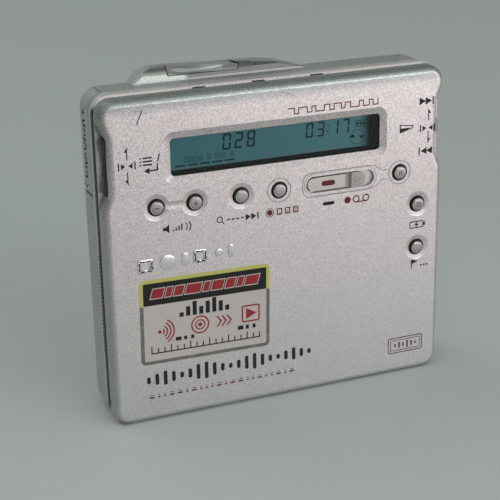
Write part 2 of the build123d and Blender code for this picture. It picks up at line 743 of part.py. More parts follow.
with BuildPart() as case_screws:
    with Locations((top_screw_x, top_screw_y, body_height - case_screw_sink / 2 - 0.02)):
        Cylinder(case_screw_r, case_screw_sink - 0.04)
    with Locations((top_screw_x, top_screw_y, body_height - case_screw_sink - 0.9)):
        Cylinder(case_screw_r * 0.6 - 0.02, 1.9)
    for side in (-1, 1):
        head = sorted((side * (body_half - case_screw_sink), side * (body_half - 0.04)))
        shank = sorted((side * (body_half - 2.2), side * (body_half - case_screw_sink)))
        rod_x(head, wall_screw_y, wall_screw_height, case_screw_r)
        rod_x(shank, wall_screw_y, wall_screw_height, case_screw_r * 0.6 - 0.02)
keep(case_screws, "case_screws")

with BuildPart() as battery_door:
    add(case_form.part)
    add(case_hollow.part, mode=Mode.SUBTRACT)
    block((-body_half - 1, door_right - door_gap), (door_front_y + door_gap, back_y + 1),
          (door_pin_z, body_height + 1), Mode.INTERSECT)
    rod_y(door_pin_x, (door_front_y + door_gap, door_lug_y - 0.15), door_pin_z, door_barrel_r)
    block((-body_half - 1, door_lug[0][1] + 0.3), (door_lug_y - 0.15, door_lug_y + 0.95),
          (door_low, door_lug[1][1] + 0.3), Mode.SUBTRACT)
    rod_y(door_pin_x, (frame_back_y, door_lug_y), door_pin_z, door_pin_r + running_gap, Mode.SUBTRACT)
    # contact spring pad that presses on the battery's end
    block((-body_half + case_wall - 0.2, -body_half + case_wall + 0.6),
          (deck_back_y + 0.6, mechanism_y + 1.0), (bay_low + 3.5, bay_top - 4.5))
keep(battery_door, "battery_door")

with BuildPart() as door_pin:
    rod_y(door_pin_x, (frame_back_y + 0.05, door_lug_y + 0.8), door_pin_z, door_pin_r)
keep(door_pin, "battery_door_pin")

with BuildPart() as open_slider:
    add(hump_form.part)
    block((release_left, release_left + release_length), (hump_front, slider_back_y),
          (release_seat + 0.1, hump_top + 1), Mode.INTERSECT)
    # lens-shaped scoop for the finger, sunk into the leaning face
    lean = math.atan2(slope[1][1] - slope[0][1], slope[1][0] - slope[0][0])
    away = scoop_sphere_r - scoop_depth
    with Locations((release_left + 0.42 * release_length,
                    (slope[0][0] + slope[1][0]) / 2 - away * math.sin(lean),
                    (slope[0][1] + slope[1][1]) / 2 + away * math.cos(lean))):
        Sphere(scoop_sphere_r, mode=Mode.SUBTRACT)
    block(foot_x, foot_y, (finger_low, release_seat + 0.3))
keep(open_slider, "open_slider")

with BuildPart() as latch_bar:
    block((finger_places[0] - finger_half, finger_places[-1] + finger_half), foot_y, latch_z)
    for x in finger_places:
        block((x - finger_half, x + finger_half), (frame_front_y + 0.15, foot_y[1]), (finger_low, finger_high))
keep(latch_bar, "latch_bar")

with BuildPart() as hold_slider:
    hold_y = (frame_back_y + 1.6, frame_back_y + 3.0)
    block((body_half - case_wall - 0.45, body_half - case_wall - 0.1), (hold_y[0] - 0.5, hold_y[1] + 0.35),
          (hold_height - hold_half - 0.6, hold_height + hold_half + 0.6))
    block((body_half - case_wall - 0.2, body_half - 0.3), hold_y,
          (hold_height - hold_half, hold_height + hold_half))
    for i in range(4):
        rib_mid = hold_height + (i - 1.5) * 0.7
        block((body_half - 0.35, body_half - 0.02), hold_y, (rib_mid - 0.18, rib_mid + 0.18))
keep(hold_slider, "hold_slider")

with BuildPart() as battery:
    block((bay_right - battery_length, bay_right), (deck_front_y, deck_front_y + battery_thick),
          (bay_low, bay_top))
    fillet(battery.edges().filter_by(Axis.X), 2.0)
    with Locations(Location((bay_right, deck_front_y + battery_thick / 2, (bay_low + bay_top) / 2), (0, 90, 0))):
        Cylinder(1.6, 0.6)
keep(battery, "battery")

with BuildPart() as battery_terminals:
    block((bay_right + 0.3, bay_right + 1.5), (deck_front_y + 0.6, case_inner_y), (bay_low + 1, bay_top - 1))
keep(battery_terminals, "battery_terminals")


# ---- Cartridge holder ---------------------------------------------------------

holder_low, holder_high = deck_low + 1.1, cartridge_top - 0.3
stop_x = (8.0, 28.0)
head_left = -(pickup_out + pickup_travel) - 4.5
head_right = -pickup_out + 4.5
with BuildPart() as disc_holder:
    block((-holder_half, holder_half), (holder_front_y, cartridge_front_y), (deck_low + 0.1, holder_high))
    for side in (-1, 1):
        wall = sorted((side * (holder_half - holder_sheet), side * holder_half))
        lip = sorted((side * (holder_half - 2.3), side * holder_half))
        block(wall, (holder_front_y, lip_back_y), (holder_low, holder_high))
        block(lip, (cartridge_back_y, lip_back_y), (holder_low, holder_high))
        arm = sorted((side * arm_in, side * arm_out))
        rod_x(arm, hinge_y, hinge_height, holder_arm_r)
        with BuildSketch(across(arm[0])):
            Polygon((hinge_y - 0.6, hinge_height + 0.6), (hinge_y + 0.7, hinge_height - 0.5),
                    (cartridge_front_y, deck_low + 0.1), (cartridge_front_y, deck_low + 2.5),
                    (holder_front_y, deck_low + 2.5), (holder_front_y - 0.3, deck_low), align=None)
        extrude(amount=arm[1] - arm[0])
        rod_x(arm, hinge_y, hinge_height, hinge_pin_r + running_gap, Mode.SUBTRACT)
    # stop under the cartridge
    block(stop_x, (holder_front_y, cartridge_front_y), (foot_room - 0.35, deck_low + 0.2))
    block(stop_x, (holder_front_y, 0.5), (foot_room - 0.35, foot_room))
    # window for the head, and a lightening hole
    with BuildSketch(facing(cartridge_front_y)):
        with Locations(((head_left + head_right) / 2, spindle_height)):
            RectangleRounded(head_right - head_left, 11.0, 1.5)
        with Locations((16.0, spindle_height)):
            RectangleRounded(26.0, 34.0, 4.0)
    extrude(amount=holder_sheet + 0.1, mode=Mode.SUBTRACT)
keep(disc_holder, "disc_holder")


# ---- Deck and its mechanism ---------------------------------------------------

window_reach = lens_r + 0.5
with BuildPart() as deck_plate:
    with BuildSketch(facing(deck_front_y)):
        Polygon((-holder_half, deck_low), (holder_half, deck_low), (holder_half, deck_high),
                (holder_half - 1.0, deck_high + 1.0), (holder_half - 1.0, case_inner_top - 0.1),
                (bay_right + 2.2, case_inner_top - 0.1), (bay_right + 2.2, deck_high),
                (-holder_half, deck_high), align=None)
        with Locations((0, spindle_height)):
            Circle(4.5, mode=Mode.SUBTRACT)
        with Locations((-pickup_out - pickup_travel / 2, spindle_height)):
            RectangleRounded(pickup_travel + 2 * window_reach, 2 * window_reach, 1.5, mode=Mode.SUBTRACT)
        with Locations((0.55 * holder_half, spindle_height - 16.5), (0.6 * holder_half, spindle_height + 3.5)):
            Circle(5.0, mode=Mode.SUBTRACT)
    extrude(amount=-deck_sheet)
    for x, z in deck_mounts:
        rod_y(x, (deck_front_y - 0.1, deck_back_y + 0.1), z, 1.2, Mode.SUBTRACT)
    # tab under the top screw
    block((top_screw_x - 2, top_screw_x + 2), (deck_front_y, deck_front_y + 1.9),
          (case_inner_top - 1.2, case_inner_top - 0.1))
    with Locations((top_screw_x, top_screw_y, case_inner_top - 0.6)):
        Cylinder(case_screw_r * 0.6, 1.4, mode=Mode.SUBTRACT)
keep(deck_plate, "deck_plate")

with BuildPart() as grommets:
    for x, z in deck_mounts:
        rod_y(x, (deck_back_y, grommet_back_y), z, grommet_r)
        rod_y(x, (deck_back_y, grommet_back_y), z, 0.5, Mode.SUBTRACT)
keep(grommets, "deck_dampers")

with BuildPart() as deck_screws:
    for x, z in deck_mounts:
        rod_y(x, (deck_front_y, deck_back_y), z, 1.15)
        rod_y(x, (deck_back_y, grommet_back_y + 1.5), z, 0.48)
keep(deck_screws, "deck_screws")

motor_back_y = deck_back_y + 2.4
with BuildPart() as spindle_motor:
    rod_y(0, (deck_back_y, motor_back_y), spindle_height, motor_r)
    chamfer(spindle_motor.edges().group_by(Axis.Y)[-1], 0.5)
    rod_y(0, (deck_back_y - 1, motor_back_y + 1), spindle_height, shaft_r + running_gap, Mode.SUBTRACT)
keep(spindle_motor, "spindle_motor")

table_y = (deck_front_y - 0.95, deck_front_y - 0.2)
with BuildPart() as turntable:
    rod_y(0, table_y, spindle_height, turntable_r)
    chamfer(turntable.edges().group_by(Axis.Y)[0], 0.25)
    with Locations(Location((0, table_y[0] - 0.2, spindle_height), (90, 0, 0))):
        Cone(3.2, 2.6, 0.4)
    rod_y(0, (table_y[1], deck_back_y - 0.1), spindle_height, 3.4)
    rod_y(0, (deck_back_y - 0.2, motor_back_y + 0.3), spindle_height, shaft_r)
    # magnet ring's groove
    with BuildSketch(facing(table_y[0])):
        with Locations((0, spindle_height)):
            Circle(7.0)
            Circle(5.2, mode=Mode.SUBTRACT)
    extrude(amount=-0.25, mode=Mode.SUBTRACT)
keep(turntable, "turntable")

rod_z = bay_low - rod_below_bay
screw_z = spindle_height - motor_r - screw_clear
sled_y = (deck_back_y + 0.4, case_inner_y - 0.9)
axis_y = mechanism_y - 0.15
sled_x = (-pickup_out - 6.0, -pickup_out + 4.4)
leg_z = (foot_room - 0.65, foot_room - 0.25)
leg_y = (deck_back_y + 0.45, deck_back_y + 0.45 + leg_sheet)
leg_half = arm_width / 2 + 0.9
hinge_barrel_r = 0.8
with BuildPart() as sled:
    block(sled_x, sled_y, (spindle_height - 8.5, spindle_height + 8.5))
    fillet(sled.edges().filter_by(Axis.Y), 1.0)
    rod_x(sled_x, axis_y, rod_z, 1.55)
    block(sled_x, (axis_y - 1.0, axis_y + 1.0), (spindle_height + 8.0, rod_z))
    rod_x(sled_x, axis_y, rod_z, rod_r + running_gap, Mode.SUBTRACT)
    # nut that follows the lead screw, notched around it
    block(sled_x, (axis_y - 1.3, axis_y + 1.3), (screw_z, spindle_height - 8.0))
    rod_x(sled_x, axis_y, screw_z, screw_r + 0.08, Mode.SUBTRACT)
    # leg that carries the head's arm around the hinge side of the cartridge
    leg_x = (-pickup_out - leg_half, -pickup_out + leg_half)
    block(leg_x, leg_y, (leg_z[0], spindle_height - 8.0))
    block(leg_x, (hinge_y + 0.3, leg_y[1]), leg_z)
    for x in (leg_x[0], leg_x[1] - 0.6):
        rod_x((x, x + 0.6), hinge_y, hinge_height, 0.7)
    rod_x(leg_x, hinge_y, hinge_height, 0.4)
    block((leg_x[0] + 0.6, leg_x[1] - 0.6), (hinge_y + 0.3, hinge_y + hinge_barrel_r + 0.15),
          (leg_z[0] - 0.1, leg_z[1] + 0.1), Mode.SUBTRACT)
keep(sled, "sled")

with BuildPart() as pickup_lens:
    rod_y(-pickup_out, (cartridge_back_y + 0.1, sled_y[0]), spindle_height, lens_r)
    chamfer(pickup_lens.edges().group_by(Axis.Y)[0], 0.25)
    rod_y(-pickup_out, (cartridge_back_y, cartridge_back_y + 0.5), spindle_height, 1.2, Mode.SUBTRACT)
keep(pickup_lens, "pickup_lens")

with BuildPart() as head_arm:
    arm_x = (-pickup_out - arm_width / 2, -pickup_out + arm_width / 2)
    rod_x((arm_x[0] + 0.15, arm_x[1] - 0.15), hinge_y, hinge_height, hinge_barrel_r)
    with BuildSketch(facing(frame_front_y + arm_sheet)):
        Polygon((arm_x[0] + 0.15, hinge_height + 0.5), (arm_x[1] - 0.15, hinge_height + 0.5),
                (arm_x[1] - 0.15, hinge_height + 6), (-pickup_out + 1.6, spindle_height - 6),
                (-pickup_out + 1.6, spindle_height + 3.5), (-pickup_out - 1.6, spindle_height + 3.5),
                (-pickup_out - 1.6, spindle_height - 6), (arm_x[0] + 0.15, hinge_height + 6), align=None)
    extrude(amount=arm_sheet)
    block((arm_x[0] + 0.15, arm_x[1] - 0.15), (hinge_y, frame_front_y + arm_sheet),
          (hinge_height + 0.5, hinge_height + hinge_barrel_r - 0.05))
    rod_x(arm_x, hinge_y, hinge_height, 0.4 + running_gap, Mode.SUBTRACT)
keep(head_arm, "head_arm")

with BuildPart() as head:
    block((-pickup_out - 1.5, -pickup_out + 1.5), (frame_front_y + arm_sheet, holder_front_y + 0.2),
          (spindle_height - 2.2, spindle_height + 2.2))
    chamfer(head.edges().group_by(Axis.Y)[-1], 0.12)
keep(head, "magnetic_head")

rod_x_span = (-body_half + case_wall + 0.75, -pickup_out + 6.1)
with BuildPart() as guide_rod:
    rod_x(rod_x_span, axis_y, rod_z, rod_r)
keep(guide_rod, "guide_rod")

with BuildPart() as rod_brackets:
    for x in (rod_x_span[0], rod_x_span[1] - 1.0):
        block((x, x + 1.0), (deck_back_y, axis_y + 1.3), (rod_z - 1.3, rod_z + 1.3))
        rod_x((x - 0.1, x + 1.1), axis_y, rod_z, rod_r, Mode.SUBTRACT)
keep(rod_brackets, "rod_brackets")

gear_x = (-pickup_out + 8.0, -pickup_out + 9.2)


def toothed_disc(plane_x, length, y, z, teeth, phase):
    # Small spur gear along X with narrow teeth, so that it runs with backlash
    pitch_r = teeth * gear_module / 2
    with BuildSketch(Plane(origin=(plane_x, y, z), x_dir=(0, 1, 0), z_dir=(1, 0, 0))) as profile:
        Circle(pitch_r - 1.2 * gear_module)
        with PolarLocations(pitch_r - 0.4 * gear_module, teeth, start_angle=phase):
            Trapezoid(2.2 * gear_module, 2.2 * gear_module, 76, rotation=-90)
    extrude(profile.sketch, amount=length)


with BuildPart() as lead_screw:
    rod_x((rod_x_span[0] + 0.1, gear_x[1] - 0.1), axis_y, screw_z, screw_r)
    toothed_disc(gear_x[0], gear_x[1] - gear_x[0], axis_y, screw_z, gear_teeth, 0)
keep(lead_screw, "lead_screw")

with BuildPart() as screw_bearings:
    for x in (rod_x_span[0], gear_x[0] - 1.4):
        block((x, x + 1.0), (deck_back_y, axis_y + 1.4), (screw_z - 1.4, screw_z + 1.4))
        rod_x((x - 0.1, x + 1.1), axis_y, screw_z, screw_r + running_gap, Mode.SUBTRACT)
keep(screw_bearings, "screw_bearings")

pinion_z = screw_z - (gear_teeth + pinion_teeth) * gear_module / 2
motor_start = gear_x[1] + 2.0
with BuildPart() as sled_motor:
    rod_x((motor_start, motor_start + 12), mechanism_y, pinion_z, 3.4)
    block((motor_start - 1, motor_start + 13), (deck_back_y, case_inner_y - 0.1),
          (pinion_z - 5, pinion_z + 5), Mode.INTERSECT)
    rod_x((motor_start - 1, motor_start + 4), axis_y, pinion_z, 0.4 + running_gap, Mode.SUBTRACT)
keep(sled_motor, "sled_motor")

with BuildPart() as motor_pinion:
    toothed_disc(gear_x[0], gear_x[1] - gear_x[0], axis_y, pinion_z, pinion_teeth, 90 + 18)
    rod_x((gear_x[1] - 0.1, motor_start + 3.5), axis_y, pinion_z, 0.4)
keep(motor_pinion, "motor_pinion")


# ---- Electronics and sockets --------------------------------------------------

board_y = (case_inner_y - 1.05, case_inner_y - 0.45)
board_in, board_out = motor_r + board_in_gap, body_half - 8.05
board_low, board_high = deck_low + 1.1, deck_high - 0.6
board_step = jack_places[-1] + jack_pitch / 2 + 1.5
with BuildPart() as main_board:
    with BuildSketch(facing(board_y[0])):
        Polygon((board_in, board_low), (jack_block_left - 0.8, board_low), (jack_block_left - 0.8, board_step),
                (board_out, board_step), (board_out, board_high), (board_in, board_high), align=None)
    extrude(amount=-(board_y[1] - board_y[0]))
    # standoffs to the case
    for x, z in ((board_in + 2.4, board_low + 2.0), (board_in + 2.4, board_high - 1.9),
                 (board_out - 2.4, board_high - 1.9), (board_out - 2.4, board_step + 2.3)):
        rod_y(x, (board_y[1], case_inner_y), z, 0.8)
keep(main_board, "main_board")

with BuildPart() as board_chips:
    for x, z, width, height in ((board_in + 7.4, board_high - 9.9, 9.0, 9.0),
                                (board_out - 3.9, board_high - 6.4, 5.0, 7.0),
                                (board_in + 6.0, board_low + 20.5, 7.0, 7.0),
                                (board_in + 6.0, board_low + 8.5, 5.0, 8.0),
                                (board_out - 3.8, board_step + 4.3, 4.5, 4.5)):
        block((x - width / 2, x + width / 2), (board_y[0] - 1.1, board_y[0]), (z - height / 2, z + height / 2))
keep(board_chips, "board_chips")

with BuildPart() as audio_jacks:
    for z in jack_places:
        block((jack_block_left, body_half - back_edge - 0.1), (deck_back_y + 0.1, case_inner_y),
              (z - jack_pitch / 2 + 0.5, z + jack_pitch / 2 - 0.5))
        rod_x((body_half - back_edge - 1, body_half - 0.1), mechanism_y, z, jack_bore_r + 0.45)
        rod_x((body_half - 0.1 - jack_depth, body_half), mechanism_y, z, jack_bore_r, Mode.SUBTRACT)
keep(audio_jacks, "audio_jacks")

with BuildPart() as dc_jack:
    block((body_half - 8, body_half - back_edge - 0.1), (deck_back_y + 0.1, case_inner_y),
          (dc_height - 2.9, dc_height + 2.9))
    rod_x((body_half - back_edge - 1, body_half - 0.1), mechanism_y, dc_height, 2.05)
    rod_x((body_half - 6.5, body_half), mechanism_y, dc_height, 1.6, Mode.SUBTRACT)
    rod_x((body_half - 7, body_half - 1), mechanism_y, dc_height, 0.45)
keep(dc_jack, "dc_jack")
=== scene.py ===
import bpy, bmesh, json, math
from mathutils import Matrix, Vector
from mathutils.bvhtree import BVHTree


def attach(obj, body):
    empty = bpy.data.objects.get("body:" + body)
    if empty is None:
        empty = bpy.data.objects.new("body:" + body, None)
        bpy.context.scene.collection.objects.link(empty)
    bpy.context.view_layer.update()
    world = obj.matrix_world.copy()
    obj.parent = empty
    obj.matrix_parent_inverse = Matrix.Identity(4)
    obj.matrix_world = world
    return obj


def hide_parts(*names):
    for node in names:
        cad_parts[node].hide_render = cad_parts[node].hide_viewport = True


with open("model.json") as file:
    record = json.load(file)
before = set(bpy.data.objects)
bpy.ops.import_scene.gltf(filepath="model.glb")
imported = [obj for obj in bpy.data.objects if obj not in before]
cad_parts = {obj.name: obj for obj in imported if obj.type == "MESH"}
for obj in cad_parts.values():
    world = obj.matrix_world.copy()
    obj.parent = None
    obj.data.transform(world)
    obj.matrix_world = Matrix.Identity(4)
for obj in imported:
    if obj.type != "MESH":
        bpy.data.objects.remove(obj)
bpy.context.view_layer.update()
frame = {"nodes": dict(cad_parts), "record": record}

mm = 0.001  # pieces are drawn in millimetres and kept in metres
sharpAngle = 38  # an edge that turns by more degrees than this stays crisp
part = frame["nodes"]
print("frame loaded:", len(part), "nodes")


# small steps that every node tree is made from
def setSocket(tree, socket, value):
    if isinstance(value, (int, float)):
        socket.default_value = value
    elif isinstance(value, tuple):
        socket.default_value = (*value[:3], 1.0)
    else:
        tree.links.new(value, socket)


def mathNode(tree, operation, a, b=None, clamp=False):
    node = tree.nodes.new("ShaderNodeMath")
    node.operation = operation
    node.use_clamp = clamp
    setSocket(tree, node.inputs[0], a)
    if b is not None:
        setSocket(tree, node.inputs[1], b)
    return node.outputs[0]


def both(tree, a, b):
    return mathNode(tree, "MULTIPLY", a, b)


def either(tree, a, b):
    return mathNode(tree, "MAXIMUM", a, b)


def noiseNode(tree, vector, scale, detail, roughness=0.5):
    node = tree.nodes.new("ShaderNodeTexNoise")
    tree.links.new(vector, node.inputs["Vector"])
    for label, value in (("Scale", scale), ("Detail", detail), ("Roughness", roughness)):
        node.inputs[label].default_value = value
    return node.outputs["Fac"]


def mixColour(tree, factor, a, b):
    node = tree.nodes.new("ShaderNodeMix")
    node.data_type = "RGBA"
    for slot, value in ((0, factor), (6, a), (7, b)):
        setSocket(tree, node.inputs[slot], value)
    return node.outputs[2]


def rangeNode(tree, value, limits, outLow=0.0, outHigh=1.0):
    node = tree.nodes.new("ShaderNodeMapRange")
    tree.links.new(value, node.inputs[0])
    for slot, number in enumerate((*limits, outLow, outHigh), 1):
        node.inputs[slot].default_value = number
    return node.outputs[0]


# shared effects, each one a node group
def newGroup(name, inputs, outputs):
    group = bpy.data.node_groups.new(name, "ShaderNodeTree")
    for label, kind, value in inputs:
        socket = group.interface.new_socket(name=label, in_out="INPUT", socket_type="NodeSocket" + kind)
        if value is not None:
            socket.default_value = value
    for label, kind in outputs:
        group.interface.new_socket(name=label, in_out="OUTPUT", socket_type="NodeSocket" + kind)
    return group, group.nodes.new("NodeGroupInput").outputs, group.nodes.new("NodeGroupOutput").inputs


# metallic flakes: each cell has its own shade, gloss and small tilt
flakeGroup, given, made = newGroup("paintFlakes", [
    ("Vector", "Vector", None), ("Colour", "Color", (0.6, 0.57, 0.57, 1.0)), ("Flake size", "Float", 7000.0),
    ("Contrast", "Float", 0.2)], [("Colour", "Color"), ("Roughness", "Float"), ("Height", "Float")])
glossSpread = 0.2
link = flakeGroup.links.new
cells = flakeGroup.nodes.new("ShaderNodeTexVoronoi")
link(given["Vector"], cells.inputs["Vector"])
link(given["Flake size"], cells.inputs["Scale"])
grey = flakeGroup.nodes.new("ShaderNodeSeparateColor")
link(cells.outputs["Color"], grey.inputs[0])
lift = both(flakeGroup, mathNode(flakeGroup, "SUBTRACT", grey.outputs[0], 0.5), given["Contrast"])
hsv = flakeGroup.nodes.new("ShaderNodeHueSaturation")
link(given["Colour"], hsv.inputs["Color"])
link(mathNode(flakeGroup, "ADD", lift, 1.0), hsv.inputs["Value"])
link(hsv.outputs[0], made["Colour"])
link(both(flakeGroup, grey.outputs[1], glossSpread), made["Roughness"])
link(grey.outputs[2], made["Height"])

# soft clouding in the gloss that hands leave
handlingGroup, given, made = newGroup("handling", [
    ("Vector", "Vector", None), ("Roughness", "Float", 0.4), ("Clouding", "Float", 0.08)],
    [("Roughness", "Float"), ("Mask", "Float")])
cloud = noiseNode(handlingGroup, given["Vector"], 90.0, 5.0, 0.6)
spread = both(handlingGroup, mathNode(handlingGroup, "SUBTRACT", cloud, 0.5), given["Clouding"])
handlingGroup.links.new(mathNode(handlingGroup, "ADD", given["Roughness"], spread, True), made["Roughness"])
handlingGroup.links.new(rangeNode(handlingGroup, cloud, (0.45, 0.75)), made["Mask"])
print("node groups ready")


# materials: each starts with its fixed sockets, and limits are places in metres
def startMaterial(name, settings):
    material = bpy.data.materials.new(name)
    material.use_nodes = True
    tree = material.node_tree
    shader = next(n for n in tree.nodes if n.type == "BSDF_PRINCIPLED").inputs
    for label, value in settings.items():
        shader[label].default_value = value
    place = tree.nodes.new("ShaderNodeTexCoord").outputs["Object"]
    return material, tree, shader, place


def placeGroup(tree, group, values):
    node = tree.nodes.new("ShaderNodeGroup")
    node.node_tree = group
    for label, value in values.items():
        setSocket(tree, node.inputs[label], value)
    return node.outputs


def handleSurface(tree, shader, place, roughness, clouding):
    hands = placeGroup(tree, handlingGroup, {"Vector": place, "Roughness": roughness, "Clouding": clouding})
    tree.links.new(hands["Roughness"], shader["Roughness"])
    return hands


def bumpFrom(tree, shader, height, strength, distance):
    node = tree.nodes.new("ShaderNodeBump")
    node.inputs["Strength"].default_value = strength
    node.inputs["Distance"].default_value = distance
    tree.links.new(height, node.inputs["Height"])
    tree.links.new(node.outputs[0], shader["Normal"])


def sprayFlakes(tree, shader, place, look, colour, contrast, moreRough=0.0):
    flakes = placeGroup(tree, flakeGroup, {"Vector": place, "Colour": colour, "Flake size": look["flake"],
                                           "Contrast": contrast})
    hands = handleSurface(tree, shader, place, look["roughness"], 0.1)
    blur = mathNode(tree, "ADD", hands["Roughness"], flakes["Roughness"])
    tree.links.new(mathNode(tree, "ADD", blur, moreRough, True), shader["Roughness"])
    tree.links.new(flakes["Colour"], shader["Base Color"])
    bumpFrom(tree, shader, flakes["Height"], 0.12, 0.00002)
    return flakes["Colour"]


def axesOf(tree, place):
    split = tree.nodes.new("ShaderNodeSeparateXYZ")
    tree.links.new(place, split.inputs[0])
    return split.outputs


def flakePaint(name, look):
    material, tree, shader, place = startMaterial(name, look["fixed"])
    sprayFlakes(tree, shader, place, look, look["colour"], look["contrast"])
    return material


def seamPaint(name, look):
    # the frame's paint has near-black painted shade in the seam along its flanks and a bright painted highlight on
    # its rim
    material, tree, shader, place = startMaterial(name, {})
    x, y, z = axesOf(tree, place)
    colour = sprayFlakes(tree, shader, place, look, look["colour"], look["contrast"])
    flank = rangeNode(tree, mathNode(tree, "ABSOLUTE", x), look["flank"])
    low = rangeNode(tree, z, look["low"])
    front = rangeNode(tree, y, look["front"])
    # painted shade: near black where the seam between lid and frame lies in shadow
    seam = both(tree, both(tree, flank, low), either(tree, front, rangeNode(tree, y, look["shaded"], 0.0, 0.6)))
    # painted highlight: a bright, less metallic strip along the top of the frame's front
    paintedHighlight = both(tree, rangeNode(tree, z, look["rubbedHigh"]), rangeNode(tree, y, look["rubbedFront"]))
    tone = mixColour(tree, paintedHighlight, colour, look["rubbedColour"])
    tree.links.new(mixColour(tree, seam, tone, look["seamColour"]), shader["Base Color"])
    dull = either(tree, seam, both(tree, paintedHighlight, 0.6))
    tree.links.new(both(tree, mathNode(tree, "SUBTRACT", 1.0, dull), look["metallic"]), shader["Metallic"])
    return material


def humpPaint(name, look):
    # painted shade darkens the case's paint on the front of the hump, and a painted highlight makes the hump's left
    # end paler
    material, tree, shader, place = startMaterial(name, look["fixed"])
    x, y, z = axesOf(tree, place)
    # painted shade on the hump's front, lifted by a painted highlight at its low left end
    hump = both(tree, rangeNode(tree, z, look["high"]), rangeNode(tree, y, look["front"]))
    leftEndHighlight = both(tree, rangeNode(tree, x, look["endX"]), rangeNode(tree, z, look["endZ"]))
    pale = tuple(min(1.0, c * look["endLift"]) for c in look["humpColour"])
    tone = mixColour(tree, hump, look["colour"], mixColour(tree, leftEndHighlight, look["humpColour"], pale))
    sprayFlakes(tree, shader, place, look, tone, look["contrast"])
    return material


def rimmedPaint(name, look):
    # the lid's rounded rim, along the top, the sides and the foot, is darker than its face with painted shade, with a
    # painted highlight as a pale line where the two meet at the top; painted shade also darkens the face just under
    # its top edge and in its upper left corner
    material, tree, shader, place = startMaterial(name, look["fixed"])
    x, y, z = axesOf(tree, place)

    def within(axis, key, outLow=0.0, outHigh=1.0):
        return rangeNode(tree, axis, look[key], outLow, outHigh)

    top = within(z, "top")
    left = both(tree, within(x, "left"), within(z, "leftFade", 0.4))
    sides = either(tree, left, either(tree, within(x, "right", 0.0, 0.6), within(z, "foot")))
    # painted shade: the rim back from the face, along the top and the sides
    rimShade = either(tree, both(tree, top, within(y, "topDepth")), both(tree, sides, within(y, "sideDepth")))
    inside = both(tree, within(z, "insideTop"), within(mathNode(tree, "ABSOLUTE", x), "insideSide"))
    dished = both(tree, inside, within(y, "dish", 0.0, look["dishRoughness"]))
    # painted shade under the top edge and in the upper left corner
    near = within(z, "underEdge", 0.0, 0.8)
    corner = both(tree, within(x, "cornerX", 0.0, 0.75), both(tree, within(z, "cornerLow"), within(z, "cornerHigh")))
    plain = (look["footShade"] * look["colour"][1],) * 3  # the face is greyer low down
    tone = mixColour(tree, within(z, "greyFade"), plain, look["colour"])
    tone = mixColour(tree, either(tree, near, corner), tone, look["rimColour"])
    # the top edge takes a painted highlight line, and the rim its painted shade
    tone = mixColour(tree, rimShade, mixColour(tree, top, tone, look["edgeColour"]), look["rimColour"])
    contrast = within(z, "flakeFade", 0.5 * look["contrast"], look["contrast"])
    sprayFlakes(tree, shader, place, look, tone, contrast, dished)
    return material


def satinMetal(name, colour, roughness):
    material, tree, shader, place = startMaterial(name, {"Metallic": 0.95})
    handleSurface(tree, shader, place, roughness, 0.12)
    fine = noiseNode(tree, place, 2500.0, 3.0)
    dark = tuple(c * 0.9 for c in colour)
    tree.links.new(mixColour(tree, fine, colour, dark), shader["Base Color"])
    bumpFrom(tree, shader, fine, 0.08, 0.00002)
    return material


def steppedMetal(name, plate, grip, step, roughness):
    # one colour on the flat plate and a darker one on the raised grip
    material, tree, shader, place = startMaterial(name, {"Metallic": 1.0})
    handleSurface(tree, shader, place, roughness, 0.12)
    raised = rangeNode(tree, axesOf(tree, place)[1], (step, step - 0.0001))
    tree.links.new(mixColour(tree, raised, plate, grip), shader["Base Color"])
    return material


def mouldedPlastic(name, colour, roughness):
    material, tree, shader, place = startMaterial(name, {})
    hands = handleSurface(tree, shader, place, roughness, 0.14)
    pale = tuple(min(1.0, c * 1.25 + 0.004) for c in colour)
    tree.links.new(mixColour(tree, hands["Mask"], colour, pale), shader["Base Color"])
    bumpFrom(tree, shader, noiseNode(tree, place, 3500.0, 2.0), 0.12, 0.00003)
    return material


def knurledPlastic(name, look):
    # rough at the lever's ends, smooth and darker in the middle where the finger rests, with near-black painted shade
    # over its front part for the shadow in its slot
    material, tree, shader, place = startMaterial(name, {})
    handleSurface(tree, shader, place, look["roughness"], 0.14)
    axes = axesOf(tree, place)
    away = mathNode(tree, "ABSOLUTE", mathNode(tree, "SUBTRACT", axes[2], look["middle"]))
    rough = rangeNode(tree, away, (look["half"] * 0.8, look["half"] * 1.2))
    cells = noiseNode(tree, place, 2600.0, 3.0, 0.7)
    pale, dark = (tuple(c * shade for c in look["colour"]) for shade in (3.4, 0.5))
    pale = mixColour(tree, rangeNode(tree, cells, (0.4, 0.65)), look["colour"], pale)
    tone = mixColour(tree, rough, dark, pale)
    # painted shade: the lever's front part turns near black, as the shadow of its slot
    inner = rangeNode(tree, axes[1], look["inner"])
    tree.links.new(mixColour(tree, inner, tone, look["innerColour"]), shader["Base Color"])
    bumpFrom(tree, shader, both(tree, cells, rough), 0.6, 0.0002)
    return material


def clearWindow(name, colour):
    material, tree, shader, place = startMaterial(name, {
        "Base Color": (*colour, 1.0), "Transmission Weight": 1.0, "IOR": 1.33})
    handleSurface(tree, shader, place, 0.02, 0.02)
    return material


def displaySheet(name, look):
    # teal sheet, paler to the right, under a near-black border of painted shade at the foot and on the right, for the
    # shadow of the window's bezel
    material, tree, shader, place = startMaterial(name, {"Specular IOR Level": 0.0})
    handleSurface(tree, shader, place, 0.3, 0.08)
    x, y, z = axesOf(tree, place)
    sheet = mixColour(tree, rangeNode(tree, x, look["across"]), look["darkEnd"], look["paleEnd"])
    sheet = mixColour(tree, rangeNode(tree, z, look["glow"], 0.0, 0.5), sheet, look["glowColour"])
    # painted shade: the bezel's shadow along the sheet's foot and right end
    border = either(tree, rangeNode(tree, x, look["rightEnd"]), rangeNode(tree, z, look["foot"]))
    tree.links.new(mixColour(tree, border, sheet, look["borderColour"]), shader["Base Color"])
    return material


